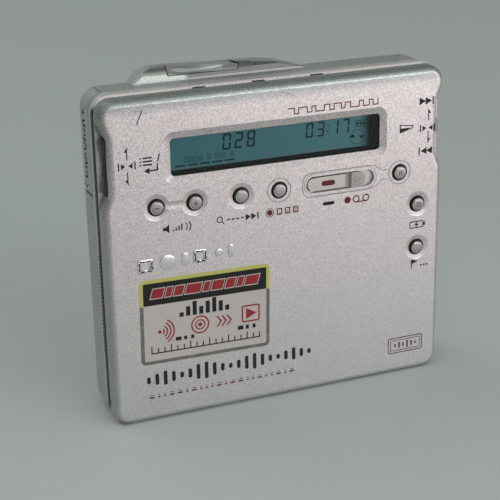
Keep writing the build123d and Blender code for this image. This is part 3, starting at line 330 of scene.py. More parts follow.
def printInk(name, colour, roughness=0.45, wear=0.55, shine=0.3):
    # printing ink that has worn thin in small specks
    material, tree, shader, place = startMaterial(name, {"Specular IOR Level": shine})
    handleSurface(tree, shader, place, roughness, 0.1)
    worn = rangeNode(tree, noiseNode(tree, place, 1800.0, 4.0, 0.6), (0.62, 0.75), 0.0, wear)
    thin = tuple(min(1.0, c * 1.6 + 0.06) for c in colour)
    tree.links.new(mixColour(tree, worn, colour, thin), shader["Base Color"])
    return material


def twoTone(name, upper, lower, level):
    # a printed border that changes colour at one height, on a line that leans a little
    material, tree, shader, place = startMaterial(name, {})
    handleSurface(tree, shader, place, 0.4, 0.1)
    x, y, z = axesOf(tree, place)
    height = mathNode(tree, "ADD", z, both(tree, x, 0.017))
    worn = rangeNode(tree, noiseNode(tree, place, 900.0, 4.0, 0.6), (0.5, 0.75), 0.0, 0.5)
    tone = mixColour(tree, rangeNode(tree, height, (level, level + 0.0001)), lower, upper)
    tree.links.new(mixColour(tree, worn, tone, tuple(c * 0.8 for c in upper)), shader["Base Color"])
    return material


# on the lid, the rim colour is painted shade and the pale edge colour is a painted highlight
lidLook = {"colour": (0.585, 0.543, 0.545), "rimColour": (0.35, 0.365, 0.355), "edgeColour": (0.39, 0.425, 0.405),
           "fixed": {"Metallic": 0.95, "Coat Weight": 0.35, "Coat Roughness": 0.07}, "roughness": 0.38,
           "flake": 6200.0, "contrast": 0.58, "footShade": 1.07, "dishRoughness": 0.13,
           "top": (0.0704, 0.0706), "left": (-0.0379, -0.0381), "leftFade": (0.046, 0.056),
           "right": (0.0379, 0.0381), "foot": (0.0016, 0.0014), "topDepth": (-0.00814, -0.008),
           "sideDepth": (-0.00824, -0.0079), "insideTop": (0.0704, 0.0702), "insideSide": (0.0378, 0.0376),
           "dish": (-0.00824, -0.0082), "underEdge": (0.0684, 0.0699), "cornerX": (-0.037, -0.0382),
           "cornerLow": (0.056, 0.061), "cornerHigh": (0.0712, 0.0695), "greyFade": (0.005, 0.045),
           "flakeFade": (0.015, 0.06)}
caseLook = {"colour": (0.56, 0.565, 0.56), "roughness": 0.32, "flake": 4600.0, "contrast": 0.3,
            "fixed": {"Metallic": 0.95, "Coat Weight": 0.1, "Coat Roughness": 0.07}}
# on the back shell, the dark hump colour is painted shade and the paler left end of the hump is a painted highlight
rearLook = {"colour": (0.55, 0.555, 0.55), "humpColour": (0.22, 0.23, 0.22), "endLift": 3.0,
            "fixed": {"Metallic": 0.95}, "roughness": 0.36, "flake": 4600.0, "contrast": 0.3,
            "high": (0.0724, 0.0729), "front": (0.0045, 0.0038), "endX": (-0.0162, -0.0176), "endZ": (0.0746, 0.0741)}
# on the frame, the bright rim colour is a painted highlight and the near-black seam colour is painted shade
beadLook = {"colour": (0.9, 0.82, 0.82), "rubbedColour": (0.95, 0.86, 0.86), "seamColour": (0.006, 0.006, 0.007),
            "metallic": 0.95, "roughness": 0.24, "flake": 4600.0, "contrast": 0.4, "flank": (0.0379, 0.0386),
            "low": (0.0704, 0.0694), "front": (-0.0023, -0.0028), "shaded": (-0.0018, -0.0026),
            "rubbedHigh": (0.0717, 0.0719), "rubbedFront": (-0.0035, -0.0038)}
# the lever's near-black colour is painted shade from its slot
leverLook = {"colour": (0.12, 0.124, 0.12), "innerColour": (0.006, 0.006, 0.006), "roughness": 0.5,
             "middle": 0.0582, "half": 0.0024, "inner": (-0.0061, -0.0066)}
# the display's border colour is painted shade
displayLook = {"darkEnd": (0.072, 0.225, 0.27), "paleEnd": (0.13, 0.3, 0.35), "glowColour": (0.17, 0.25, 0.28),
               "borderColour": (0.004, 0.005, 0.006), "across": (-0.024, 0.019), "glow": (0.0567, 0.0559),
               "rightEnd": (0.0192, 0.0216), "foot": (0.0559, 0.0557)}
lidPaint = rimmedPaint("lidPaint", lidLook)
casePaint = flakePaint("casePaint", caseLook)
rearPaint = humpPaint("rearPaint", rearLook)
buttonMetal = satinMetal("buttonMetal", (0.36, 0.34, 0.34), 0.42)
capEdge = satinMetal("capEdge", (0.9, 0.89, 0.88), 0.1)
brightMetal = satinMetal("brightMetal", (0.72, 0.73, 0.72), 0.2)
# polished metal, also used for the painted glints on the rim studs and the painted highlight of the slider scoop
polished = satinMetal("polished", (0.95, 0.93, 0.93), 0.2)
leverPlastic = mouldedPlastic("leverPlastic", (0.075, 0.075, 0.075), 0.35)
# black plastic, also used for painted shade on the cap skirts, the slider's edge, the rim slits and the lip's edge
blackPlastic = mouldedPlastic("blackPlastic", (0.012, 0.012, 0.013), 0.45)
displayInk = printInk("displayInk", (0.006, 0.034, 0.045), 0.45, 0.0, 0.0)
displayFaint = printInk("displayFaint", (0.014, 0.06, 0.075), 0.45, 0.0, 0.0)
printDark = printInk("printDark", (0.014, 0.013, 0.015), 0.6, 0.3)
printRed = printInk("printRed", (0.13, 0.008, 0.016), 0.6, 0.3)
grooveDark = satinMetal("grooveDark", (0.25, 0.235, 0.23), 0.4)
stickerEdge = twoTone("stickerEdge", (0.52, 0.5, 0.12), (0.13, 0.13, 0.135), 0.0265)
stickerPale = printInk("stickerPale", (0.52, 0.48, 0.46), 0.4)
stickerBlack = printInk("stickerBlack", (0.006, 0.0055, 0.0055), 0.5, 0.1)
stickerRed = printInk("stickerRed", (0.3, 0.018, 0.02), 0.5)

# the material of every slot, and of the nodes that have their own
slotMaterial = {
    "lid_paint": lidPaint, "case_paint": casePaint, "button_metal": buttonMetal, "bright_metal": brightMetal,
    "lever_plastic": leverPlastic, "black_plastic": blackPlastic,
    "inlay_red": mouldedPlastic("inlayRed", (0.09, 0.004, 0.005), 0.3),
    "lamp_dark": mouldedPlastic("lampDark", (0.006, 0.007, 0.007), 0.15),
    "window_clear": clearWindow("windowClear", (0.86, 0.93, 0.92)),
    "display": displaySheet("displayTeal", displayLook),
    "board": mouldedPlastic("boardGreen", (0.02, 0.11, 0.045), 0.4),
    "sheet_steel": satinMetal("sheetSteel", (0.56, 0.56, 0.55), 0.3),
    "cast_metal": satinMetal("castMetal", (0.4, 0.4, 0.41), 0.45),
    "screw_metal": satinMetal("screwMetal", (0.6, 0.6, 0.58), 0.25),
    "rubber": mouldedPlastic("rubberBlack", (0.02, 0.02, 0.02), 0.8),
    "battery_jacket": mouldedPlastic("batteryJacket", (0.28, 0.31, 0.36), 0.35)}
ownMaterial = {
    "mid_frame": seamPaint("beadPaint", beadLook),
    "rear_case": rearPaint,
    "open_slider": satinMetal("releaseMetal", (0.5, 0.51, 0.505), 0.22),
    "play_lever": satinMetal("playMetal", (0.22, 0.23, 0.225), 0.35),
    "jog_lever": knurledPlastic("knurled", leverLook),
    "rec_slider": steppedMetal("sliderMetal", (0.5, 0.475, 0.45), (0.33, 0.32, 0.31), -0.0081, 0.38)}
slotOf = {sub["node"]: sub["material_slot"] for sub in frame["record"]["subparts"]}
for name, node in part.items():
    node.data.materials.clear()
    node.data.materials.append(ownMaterial.get(name, slotMaterial[slotOf[name]]))
print("materials on", len(part), "nodes")


# piece makers: flat marks are drawn in millimetres in X and Z, then raised off their surface
def newPiece(name, bm, materials, body, replaced=()):
    bmesh.ops.scale(bm, vec=(mm, mm, mm), verts=bm.verts)
    bmesh.ops.recalc_face_normals(bm, faces=bm.faces)
    for face in bm.faces:
        face.smooth = True
    mesh = bpy.data.meshes.new(name)
    bm.to_mesh(mesh)
    bm.free()
    mesh.set_sharp_from_angle(angle=math.radians(sharpAngle))
    for material in materials:
        mesh.materials.append(material)
    piece = bpy.data.objects.new(name, mesh)
    bpy.context.collection.objects.link(piece)
    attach(piece, body)
    if replaced:
        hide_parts(*replaced)


def setDown(bm, verts, x, z, turn=0.0):
    place = Matrix.Translation((x, 0, z)) @ Matrix.Rotation(math.radians(90), 4, "X")
    bmesh.ops.transform(bm, verts=verts, matrix=place @ Matrix.Rotation(math.radians(turn), 4, "Z"))


def addBar(bm, x, z, width, height, turn=0.0, slant=0.0):
    verts = bmesh.ops.create_grid(bm, x_segments=1, y_segments=1, size=0.5)["verts"]
    bmesh.ops.scale(bm, vec=(width, height, 1), verts=verts)
    leaning = Matrix(((1, slant, 0, 0), (0, 1, 0, 0), (0, 0, 1, 0), (0, 0, 0, 1)))
    bmesh.ops.transform(bm, verts=verts, matrix=leaning)
    setDown(bm, verts, x, z, turn)


def cutMiddle(bm, face, line):
    bmesh.ops.inset_region(bm, faces=[face], thickness=line, use_even_offset=True, use_boundary=True)
    bmesh.ops.delete(bm, geom=[face], context="FACES_ONLY")


def addPlate(bm, x, z, width, height, radius, line=0.0, turn=0.0):
    old = set(bm.verts)
    corners = bmesh.ops.create_grid(bm, x_segments=1, y_segments=1, size=0.5)["verts"]
    bmesh.ops.scale(bm, vec=(width, height, 1), verts=corners)
    bmesh.ops.bevel(bm, geom=corners, offset=radius, segments=5, profile=0.5, affect="VERTICES", material=-1)
    if line:
        cutMiddle(bm, next(v for v in bm.verts if v not in old).link_faces[0], line)
    setDown(bm, [v for v in bm.verts if v not in old], x, z, turn)


def addDisc(bm, x, z, radius, segments=28):
    verts = bmesh.ops.create_circle(bm, cap_ends=True, radius=radius, segments=segments)["verts"]
    setDown(bm, verts, x, z)


def addRing(bm, x, z, radius, line, segments=36, start=0.0, sweep=360.0):
    old = set(bm.verts)
    ends = [bm.verts.new((radius - line, 0, 0)), bm.verts.new((radius, 0, 0))]
    edge = bm.edges.new(ends)
    bmesh.ops.rotate(bm, verts=ends, cent=(0, 0, 0), matrix=Matrix.Rotation(math.radians(start), 3, "Z"))
    bmesh.ops.spin(bm, geom=[*ends, edge], cent=(0, 0, 0), axis=(0, 0, 1), dvec=(0, 0, 0),
                   angle=math.radians(sweep), steps=segments, use_merge=sweep >= 360)
    setDown(bm, [v for v in bm.verts if v not in old], x, z)


def addShape(bm, *points, line=0.0):
    verts = [bm.verts.new((x, 0, z)) for x, z in points]
    shape = bmesh.ops.contextual_create(bm, geom=verts)["faces"][0]
    if line:
        cutMiddle(bm, shape, line)


def raiseMarks(bm, surface, raised, sunk=0.02):
    bmesh.ops.recalc_face_normals(bm, faces=bm.faces)
    front = bmesh.ops.extrude_face_region(bm, geom=bm.faces[:])["geom"]
    bmesh.ops.translate(bm, verts=[v for v in front if isinstance(v, bmesh.types.BMVert)], vec=(0, -raised - sunk, 0))
    bmesh.ops.translate(bm, verts=bm.verts, vec=(0, surface + sunk, 0))


# tables of marks: bars are x, z, width, height, turn and slant, plates x, z, width, height, radius, line and turn,
# discs x, z and radius, rings x, z, radius, line, segments, start and sweep, and shapes are their corners
makers = {"bars": addBar, "plates": addPlate, "discs": addDisc, "rings": addRing, "shapes": addShape}


def drawMarks(bm, *tables):
    for table in tables:
        for kind, rows in table.items():
            for row in rows:
                makers[kind](bm, *row)


# marks of one colour on the lid's face, unless another surface and body are named
lidFace = -8.25
inkHeight = 0.012


def newMarks(name, bm, material, raised=inkHeight, surface=lidFace, body="lid", sunk=0.02):
    raiseMarks(bm, surface, raised, sunk)
    newPiece(name, bm, (material,), body)


def camelName(name):
    first, *rest = name.split("_")
    return first + "".join(word.capitalize() for word in rest)


# buttons: turned caps with a satin crown, a polished edge and a black skirt of painted shade, for the dark reflection
# on the cap's side and the shadow in the gap around it
button = {
    "profile": ((0, -8.86), (0.9, -8.85), (1.14, -8.83), (1.24, -8.79), (1.4, -8.66), (1.55, -8.5),
                (1.66, -8.34), (1.72, -8.14), (1.72, -7.1), (2.4, -7.1), (2.4, -6.7), (0.9, -6.7),
                (0.9, -6.45), (0, -6.45)),
    "crown": 1.2, "skirt": -8.7, "steps": 48, "signLevel": -8.855, "signHeight": 0.06,
    "places": {"volume_down_button": (-28.1, 48.6), "volume_up_button": (-19.6, 48.6),
               "end_search_button": (-9.2, 48.6), "rec_mode_button": (-0.4, 48.7), "pause_button": (28.7, 48.9),
               "stop_button": (33.4, 40.9), "track_mark_button": (33.4, 30.6)}}
for name, (x, z) in button["places"].items():
    bm = bmesh.new()
    line = [bm.verts.new((r, y, 0)) for r, y in button["profile"]]
    edges = [bm.edges.new(pair) for pair in zip(line, line[1:])]
    bmesh.ops.spin(bm, geom=line + edges, cent=(0, 0, 0), axis=(0, 1, 0), dvec=(0, 0, 0), angle=math.tau,
                   steps=button["steps"], use_merge=True)
    bmesh.ops.remove_doubles(bm, verts=bm.verts, dist=1e-4)
    for face in bm.faces:
        middle = face.calc_center_median()
        out = math.hypot(middle.x, middle.z)
        # faces behind the skirt level are black: painted shade and painted dark reflection on the cap's side
        face.material_index = 2 if middle.y > button["skirt"] else (1 if out > button["crown"] else 0)
    bmesh.ops.translate(bm, verts=bm.verts, vec=(x, 0, z))
    capName = camelName(name.replace("_button", "_cap"))
    newPiece(capName, bm, (buttonMetal, capEdge, blackPlastic), name, (name,))

# raised signs on the crowns, drawn from the crown's middle
signs = {"minus": ("volume_down_button", {"bars": ((0, 0, 1.0, 0.2),)}),
         "plus": ("volume_up_button", {"bars": ((0, 0, 1.0, 0.2), (0, 0.3, 0.2, 0.4), (0, -0.3, 0.2, 0.4))}),
         "pause": ("pause_button", {"bars": ((-0.24, 0, 0.2, 0.95), (0.24, 0, 0.2, 0.95))}),
         "stop": ("stop_button", {"plates": ((0, 0, 0.95, 0.95, 0.08, 0.16),)})}
for sign, (name, table) in signs.items():
    x, z = button["places"][name]
    bm = bmesh.new()
    drawMarks(bm, table)
    bmesh.ops.translate(bm, verts=bm.verts, vec=(x, 0, z))
    newMarks(sign + "Sign", bm, leverPlastic, button["signHeight"], button["signLevel"], name)
print("buttons made")

# near-black painted shadow line at the edge of the record slider, where its slot shades it, and the grooves around
# its slot and two buttons
record = {"left": 6.1, "height": 48.75, "plate": -7.94, "plateHalf": 1.68, "grip": -8.54, "lineMid": 12.3,
          "lineWide": 8.9, "groove": 0.075, "neck": ((24.9, 1.15), (25.9, 1.4)),
          "path": ((24.9, 1.15), (24.0, 1.25), (23.2, 2.2), (21.6, 2.7), (20, 2.7), (14, 2.7), (8.6, 2.7),
                   (6.2, 2.7), (5.15, 1.6), (5.15, 0), (5.15, -1.6), (6.2, -2.7), (8.6, -2.7), (14, -2.7),
                   (20, -2.7), (21.6, -2.7), (23.2, -2.1), (24.0, -0.95), (24.9, -0.85), (25.9, -1.05)),
          "rings": {"pauseGroove": ("pause_button", 0.14), "modeGroove": ("rec_mode_button", 0.12)},
          "ringRadius": 2.78, "ringDepth": 0.01}
half, height = record["plateHalf"], record["height"]
# painted shadow along the slider's left, top and bottom edges
bm = bmesh.new()
addRing(bm, record["left"] + half, height, half, 0.32, start=75, sweep=160, segments=18)
addBar(bm, record["lineMid"], height + half - 0.13, record["lineWide"], 0.26)
addBar(bm, record["lineMid"], height - half + 0.05, record["lineWide"], 0.1)
newMarks("sliderEdgeLine", bm, blackPlastic, 0.015, record["plate"], "rec_switch")

curve = bpy.data.curves.new("recordGroove", "CURVE")
curve.dimensions = "3D"
curve.bevel_depth = record["groove"] * mm
curve.bevel_resolution = 2
curve.resolution_u = 10
curve.use_fill_caps = True
for points in (record["path"], record["neck"]):
    spline = curve.splines.new("NURBS")
    spline.points.add(len(points) - 1)
    for point, (x, z) in zip(spline.points, points):
        point.co = (x * mm, lidFace * mm, (height + z) * mm, 1)
    spline.order_u = 3
    spline.use_endpoint_u = True
maker = bpy.data.objects.new("recordGroove", curve)
grooveMesh = bpy.data.meshes.new_from_object(maker)
bpy.data.objects.remove(maker)
bm = bmesh.new()
bm.from_mesh(grooveMesh)
bpy.data.meshes.remove(grooveMesh)
bmesh.ops.remove_doubles(bm, verts=bm.verts, dist=1e-7)
bmesh.ops.scale(bm, vec=(1 / mm,) * 3, verts=bm.verts)
newPiece("recordGroove", bm, (grooveDark,), "lid")
for name, (carrier, wide) in record["rings"].items():
    bm = bmesh.new()
    addRing(bm, *button["places"][carrier], record["ringRadius"], wide)
    newMarks(name, bm, grooveDark, record["ringDepth"])

bm = bmesh.new()  # the triangle on the slider's grip
addShape(bm, (17.3, 49.55), (19.15, 48.75), (17.3, 47.95), line=0.13)
newMarks("gripTriangle", bm, grooveDark, 0.03, record["grip"], "rec_switch")
print("record control made")

# display figures: seven bars a digit, small symbols and a level row
digitBars = {"0": "abcdef", "1": "bc", "2": "abged", "3": "abgcd", "7": "abc", "8": "abcdefg"}
display = {"front": -7.0, "sunk": 0.004, "lean": 0.09, "bigSize": (1.85, 3.5, 0.44), "smallSize": (1.7, 3.2, 0.38),
           "figures": (("028", -11.75, 60.55, 2.75, "bigSize"), ("03", 7.3, 60.7, 2.6, "smallSize"),
                       ("17", 13.3, 60.7, 2.6, "smallSize")),
           "faintWords": (0.62, 0.62, 0.45, 0.62, 0.62, 0, 0.62, 0, 0.62, 0.45, 0.62, 0, 0.5)}
displaySigns = {
    "colon": {"bars": ((11.75, 61.4, 0.34, 0.34), (11.65, 60.1, 0.34, 0.34))},
    "charge": {"plates": ((19.9, 60.9, 3.6, 1.5, 0.7, 0.16),),
               "bars": [(18.8 + 0.72 * i, 60.9, 0.44, 0.75) for i in range(4)]},
    "turning": {"rings": [(18.6, 58.0, 1.7, 0.14, 12, start, 110) for start in (20, 200)],
                "shapes": (((16.6, 57.9), (17.5, 58.8), (18.3, 57.9)), ((18.9, 58.2), (20.6, 58.2), (19.8, 57.4)))}}
faintSigns = {
    "words": {"plates": [(-21.0 + 0.86 * i, 57.8, wide, 1.1, 0.05, 0.13)
                         for i, wide in enumerate(display["faintWords"]) if wide]},
    "levels": {"bars": [(-22.2 + 2.75 * i, 56.55, 2.25, 0.42) for i in range(5)]}}


def addDigit(bm, character, x, z, width, height, line):
    top, side, half = (height - line) / 2, (width - line) / 2, height / 4
    spots = {"a": (0, top), "b": (side, half), "c": (side, -half), "d": (0, -top), "e": (-side, -half),
             "f": (-side, half), "g": (0, 0)}
    for key in digitBars[character]:
        dx, dz = spots[key]
        wide, tall = (line, 2 * half - line * 0.7) if dx else (width - line, line)
        addBar(bm, x + dx + display["lean"] * dz, z + dz, wide, tall, slant=display["lean"])


bm = bmesh.new()
for text, x, z, step, size in display["figures"]:
    for i, character in enumerate(text):
        addDigit(bm, character, x + step * i, z, *display[size])
drawMarks(bm, *displaySigns.values())
newMarks("displayFigures", bm, displayInk, surface=display["front"], sunk=display["sunk"])
bm = bmesh.new()
drawMarks(bm, *faintSigns.values())
newMarks("displayFaintRow", bm, displayFaint, surface=display["front"], sunk=display["sunk"])
print("display drawn")

# dark signs on the lid's face, with half-headed arrows over and under the two press signs
arrow = {"ends": ((-33.9, 59.5, 62.3), (35.7, 60.0, 62.7), (-33.9, 57.0, 54.2), (35.7, 57.5, 54.7)),
         "line": 0.24, "gap": 0.9, "head": 1.15, "wing": 0.62}
faceSigns = {
    "press": {"bars": [(x + side * 1.75, 58.25, 0.3, 1.6) for x in (-34.0, 35.5) for side in (-1, 1)],
              "shapes": [((x + side * 1.25, 58.9), (x + side * 0.3, 58.25), (x + side * 1.25, 57.6))
                         for x in (-34.0, 35.5) for side in (-1, 1)]},
    "list": {"bars": [(x, 59.5 - 0.72 * i, w, 0.34) for x, w in ((-31.1, 0.34), (-29.6, 2.0)) for i in range(3)]},
    "turnedBack": {"bars": ((-28.3, 56.75, 1.9, 0.32), (-27.5, 57.5, 0.32, 1.3), (-27.2, 59.3, 0.3, 1.6, 0, 0.3)),
                   "shapes": (((-30.4, 56.75), (-29.2, 57.45), (-29.2, 56.05)),)},
    "skipForward": {"shapes": [((x, 65.25), (x + 1.6, 64.4), (x, 63.55)) for x in (33.35, 34.85)],
                    "bars": ((36.75, 64.4, 0.3, 1.8),)},
    "skipBack": {"shapes": [((x, 53.1), (x + 1.5, 53.9), (x + 1.5, 52.3)) for x in (33.9, 35.3)],
                 "bars": ((33.55, 53.1, 0.3, 1.8),)},
    "dart": {"shapes": (((28.55, 58.85), (32.1, 58.75), (28.6, 57.75)),),
             "bars": ((28.68, 59.25, 0.28, 0.95), (30.25, 59.42, 3.2, 0.2, -5), (31.75, 59.05, 0.2, 0.55, -30))},
    "loudness": {"bars": [(-24.6 + 0.62 * i, 43.175 + 0.175 * i, 0.32, 0.35 + 0.35 * i) for i in range(4)],
                 "rings": ((-22.1, 43.65, 1.5, 0.26, 8, -45, 90), (-22.6, 43.65, 1.2, 0.24, 8, -45, 90)),
                 "shapes": (((-26.9, 43.3), (-26.9, 44.0), (-26.3, 44.0), (-25.5, 44.6), (-25.5, 42.7),
                             (-26.3, 43.3)),)},
    "lookForEnd": {"rings": ((-14.2, 44.0, 0.72, 0.22, 20),),
                   "shapes": [((x, 44.5), (x + 1.2, 43.75), (x, 43.0)) for x in (-8.3, -7.0)],
                   "bars": ((-13.5, 43.3, 0.24, 0.9, 40), (-5.45, 43.75, 0.3, 1.5),
                            *((-12.2 + 1.05 * i, 43.75, 0.7, 0.3) for i in range(4)))},
    "battery": {"plates": ((33.3, 36.0, 3.6, 1.7, 0.25, 0.24),), "bars": ((35.3, 36.0, 0.4, 0.8),),
                "shapes": (((33.6, 36.75), (32.6, 35.9), (33.25, 35.9), (33.0, 35.25), (34.0, 36.1),
                            (33.35, 36.1)),)},
    "flag": {"shapes": (((32.35, 27.65), (33.9, 27.1), (32.35, 26.55)),),
             "bars": ((32.2, 26.6, 0.26, 2.1), *((34.7 + 0.75 * i, 26.0, 0.42, 0.42) for i in range(3)))}}
bm = bmesh.new()
for x, tail, tip in arrow["ends"]:
    way, out = math.copysign(1, tip - tail), math.copysign(1, x)
    base, inner = tip - way * arrow["head"], x - out * arrow["line"] / 2
    addBar(bm, x, (tail + tip - way * arrow["gap"]) / 2, arrow["line"], abs(tip - tail) - arrow["gap"])
    addShape(bm, (x + out * arrow["wing"], base), (inner, base), (inner, tip))
drawMarks(bm, *faceSigns.values())
newMarks("faceSigns", bm, printDark)

# open sign: a fine triangle with one dark side
bm = bmesh.new()
drawMarks(bm, {"bars": ((-31.65, 69.4, 2.7, 0.1), (-32.28, 68.05, 0.1, 2.95, -29))})
newMarks("openSignPale", bm, grooveDark, 0.006)
bm = bmesh.new()
drawMarks(bm, {"bars": ((-30.88, 68.05, 0.22, 2.95, -24),)})
newMarks("openSign", bm, printDark)

# dark red signs: a pulse train over the display, and the recording signs
pulses = {"start": 1.8, "high": 66.25, "low": 65.05, "line": 0.24,
          "wide": (1.5, 0.9, 1.9, 1.0, 0.8, 1.9, 1.2, 0.9, 1.6, 0.8, 1.2, 2.0, 0.9, 1.3, 0.8, 1.1)}
recordSigns = {
    "target": {"discs": ((-2.7, 43.9, 0.66),), "rings": ((-2.7, 43.9, 1.0, 0.16, 24),)},
    "channels": {"plates": [(-0.4 + 1.9 * i, 43.9, 1.3, 1.5, 0.15, 0.26) for i in range(3)],
                 "bars": [(-0.4 + 1.9 * i, 43.55 + 0.32 * j, 0.5, 0.16) for i in range(3) for j in range(i + 1)]},
    "dot": {"discs": ((15.9, 44.2, 0.78),)},
    "spools": {"rings": [(x, 44.2, 0.85, 0.28, 24) for x in (18.0, 20.4)], "bars": ((19.2, 43.5, 2.4, 0.28),)}}
middle, rise = (pulses["high"] + pulses["low"]) / 2, pulses["high"] - pulses["low"] + pulses["line"]
bm = bmesh.new()
x, high = pulses["start"], True
for wide in pulses["wide"]:
    addBar(bm, x + wide / 2, pulses["high" if high else "low"], wide, pulses["line"])
    addBar(bm, x + wide, middle, pulses["line"], rise)
    x, high = x + wide + 0.1, not high
drawMarks(bm, *recordSigns.values())
newMarks("recordSigns", bm, printRed)

# polished row where a nameplate would sit: plain bars and discs with a rounded front edge
polishedRow = {"raised": 0.22, "round": 0.17, "marks": {
    "plates": ((-31.1, 36.15, 3.6, 3.1, 0.7, 0.75, 1.2), (-22.3, 36.45, 1.5, 3.1, 0.7, 0, 1.2),
               (-18.9, 36.6, 3.2, 3.1, 0.7, 0.75, 1.2), (-11.8, 36.8, 1.3, 3.0, 0.6, 0, 1.2)),
    "discs": ((-26.2, 36.3, 1.75), (-14.6, 36.75, 0.9))}}
bm = bmesh.new()
drawMarks(bm, polishedRow["marks"])
raiseMarks(bm, lidFace, polishedRow["raised"])
frontEdges = [e for e in bm.edges if all(v.co.y < lidFace - 0.2 for v in e.verts)
              and any(f.calc_center_median().y > lidFace - 0.15 for f in e.link_faces)]
bmesh.ops.bevel(bm, geom=frontEdges, offset=polishedRow["round"], segments=3, profile=0.5, affect="EDGES",
                material=-1)
newPiece("polishedRow", bm, (polished,), "lid")

# dark wave row along the foot of the lid, and small red dashes and a plate under it
footRow = {"left": -31.6, "waveStep": 1.9, "waveMid": 9.85, "dashGap": 0.82, "plate": (31.0, 6.95),
           "wave": (1.6, 2.6, 3.4, 2.4, 1.4, 2.2, 3.6, 4.0, 3.0, 1.8, 1.2, 2.0, 3.2, 3.8, 2.8, 1.6, 1.2, 2.2, 3.0,
                    2.0, 1.2),
           "dashes": (1.1, 0.5, 0.5, 1.1, 1.1, 0.5, 1.1, 0.5, 0.5, 0.5, 1.1, 0.5, 1.1, 1.1, 0.5, 0.5, 1.1, 0.5,
                      0.5, 1.1, 0.5, 1.1),
           "bars": (0.8, 1.5, 0.9, 1.8, 1.2, 0.6)}
bm = bmesh.new()
for i, tall in enumerate(footRow["wave"]):
    addPlate(bm, footRow["left"] + footRow["waveStep"] * i, footRow["waveMid"], 0.85, tall, 0.4)
newMarks("waveRow", bm, printDark)
bm = bmesh.new()
x = footRow["left"]
for wide in footRow["dashes"]:
    addBar(bm, x + wide / 2, 5.65, wide, 0.36)
    addBar(bm, x + wide / 2, 6.2, wide * 0.6, 0.2)
    x += wide + footRow["dashGap"]
addPlate(bm, *footRow["plate"], 9.0, 3.9, 0.5, line=0.22)
addPlate(bm, *footRow["plate"], 7.8, 2.7, 0.3, line=0.16)
for i, tall in enumerate(footRow["bars"]):
    addBar(bm, 28.4 + 1.05 * i, footRow["plate"][1], 0.4, tall)
newMarks("redRow", bm, printRed)
print("signs printed")

# sticker: yellow and grey border, pale field, dark band of red blocks and simple shapes, about its own middle
sticker = {"mid": (-18.0, 23.0), "width": 29.8, "height": 19.4, "corner": 1.1, "turn": -1.0, "border": 0.8,
           "band": 5.0, "blocks": (2.6, 1.3, 2.0, 3.4, 1.3, 2.6, 2.0, 1.3, 3.0), "blockStart": -12.2,
           "blockGap": 0.62, "levels": (1.0, 2.2, 3.2, 1.8, 2.8, 3.4, 2.4, 1.2)}
inWide, inTall = (sticker[side] - 2 * sticker["border"] for side in ("width", "height"))
bandMid = (inTall - sticker["band"]) / 2
darkShapes = {
    "levels": {"bars": [(-5.6 + 1.5 * i, 0.35 + tall / 2, 0.95, tall) for i, tall in enumerate(sticker["levels"])]},
    "ticks": {"bars": [(0, -7.2, 25.4, 0.28),
                       *((-12.5 + 1.47 * i, -6.55, 0.26, 1.0) for i in range(18) if i % 3),
                       *((-12.5 + 1.47 * i, -6.3, 0.26, 1.5) for i in range(0, 18, 3))]},
    "words": {"bars": [(x + 1.6 * i, z, wide, tall) for x, z, tall in ((-6.4, -4.6, 0.85), (8.0, -4.4, 0.95))
                       for i, wide in enumerate((1.3, 0.7, 0.7))]}}
redShapes = {
    "spreadingArcs": {"rings": [(-10.2, -2.4, radius, 0.34, 16, -62, 124) for radius in (0.75, 1.5, 2.25, 3.0)],
                      "discs": ((-10.6, -2.4, 0.42),)},
    "target": {"rings": ((-1.4, -2.1, 2.1, 0.34), (-1.4, -2.1, 1.2, 0.3)), "discs": ((-1.4, -2.1, 0.5),)},
    "chevrons": {"bars": [(x, -2.05 + 0.6 * way, 0.42, 1.3, 0, -0.75 * way) for x in (3.0, 4.15, 5.3)
                          for way in (1, -1)]},
    "play": {"plates": ((10.4, -1.3, 4.3, 4.0, 0.5, 0.36),), "shapes": (((9.3, 0.0), (11.8, -1.3), (9.3, -2.6)),)}}


def blockRow(more, tall):
    bars = []
    x = sticker["blockStart"]
    for wide in sticker["blocks"]:
        bars.append((x + wide / 2, bandMid + 0.1, wide + more, tall, 0, 0.3))
        x += wide + sticker["blockGap"]
    return {"bars": bars}


stickerLayers = {
    "stickerBorder": (0.05, stickerEdge, "lid_paint",
                      {"plates": ((0, 0, sticker["width"], sticker["height"], sticker["corner"]),)}),
    "stickerField": (0.06, stickerPale, "lid_paint", {"plates": ((0, 0, inWide, inTall, 0.35),)}),
    "stickerBand": (0.068, stickerBlack, "black_plastic",
                    {"plates": ((0, bandMid, inWide, sticker["band"], 0.25),)}),
    "stickerBlockEdges": (0.074, stickerPale, "lid_paint", blockRow(0.34, 2.5)),
    "stickerBlocks": (0.08, stickerRed, "inlay_red", blockRow(0.0, 2.1)),
    "stickerDarkShapes": (0.07, stickerBlack, "black_plastic", *darkShapes.values()),
    "stickerRedShapes": (0.07, stickerRed, "inlay_red", *redShapes.values())}
x, z = sticker["mid"]
for name, (raised, material, slotName, *tables) in stickerLayers.items():
    bm = bmesh.new()
    drawMarks(bm, *tables)
    bmesh.ops.translate(bm, verts=bm.verts, vec=(x, 0, z))
    bmesh.ops.rotate(bm, verts=bm.verts, cent=(x, 0, z),
                     matrix=Matrix.Rotation(math.radians(-sticker["turn"]), 3, "Y"))
    newMarks(name, bm, material, raised)
print("sticker laid")

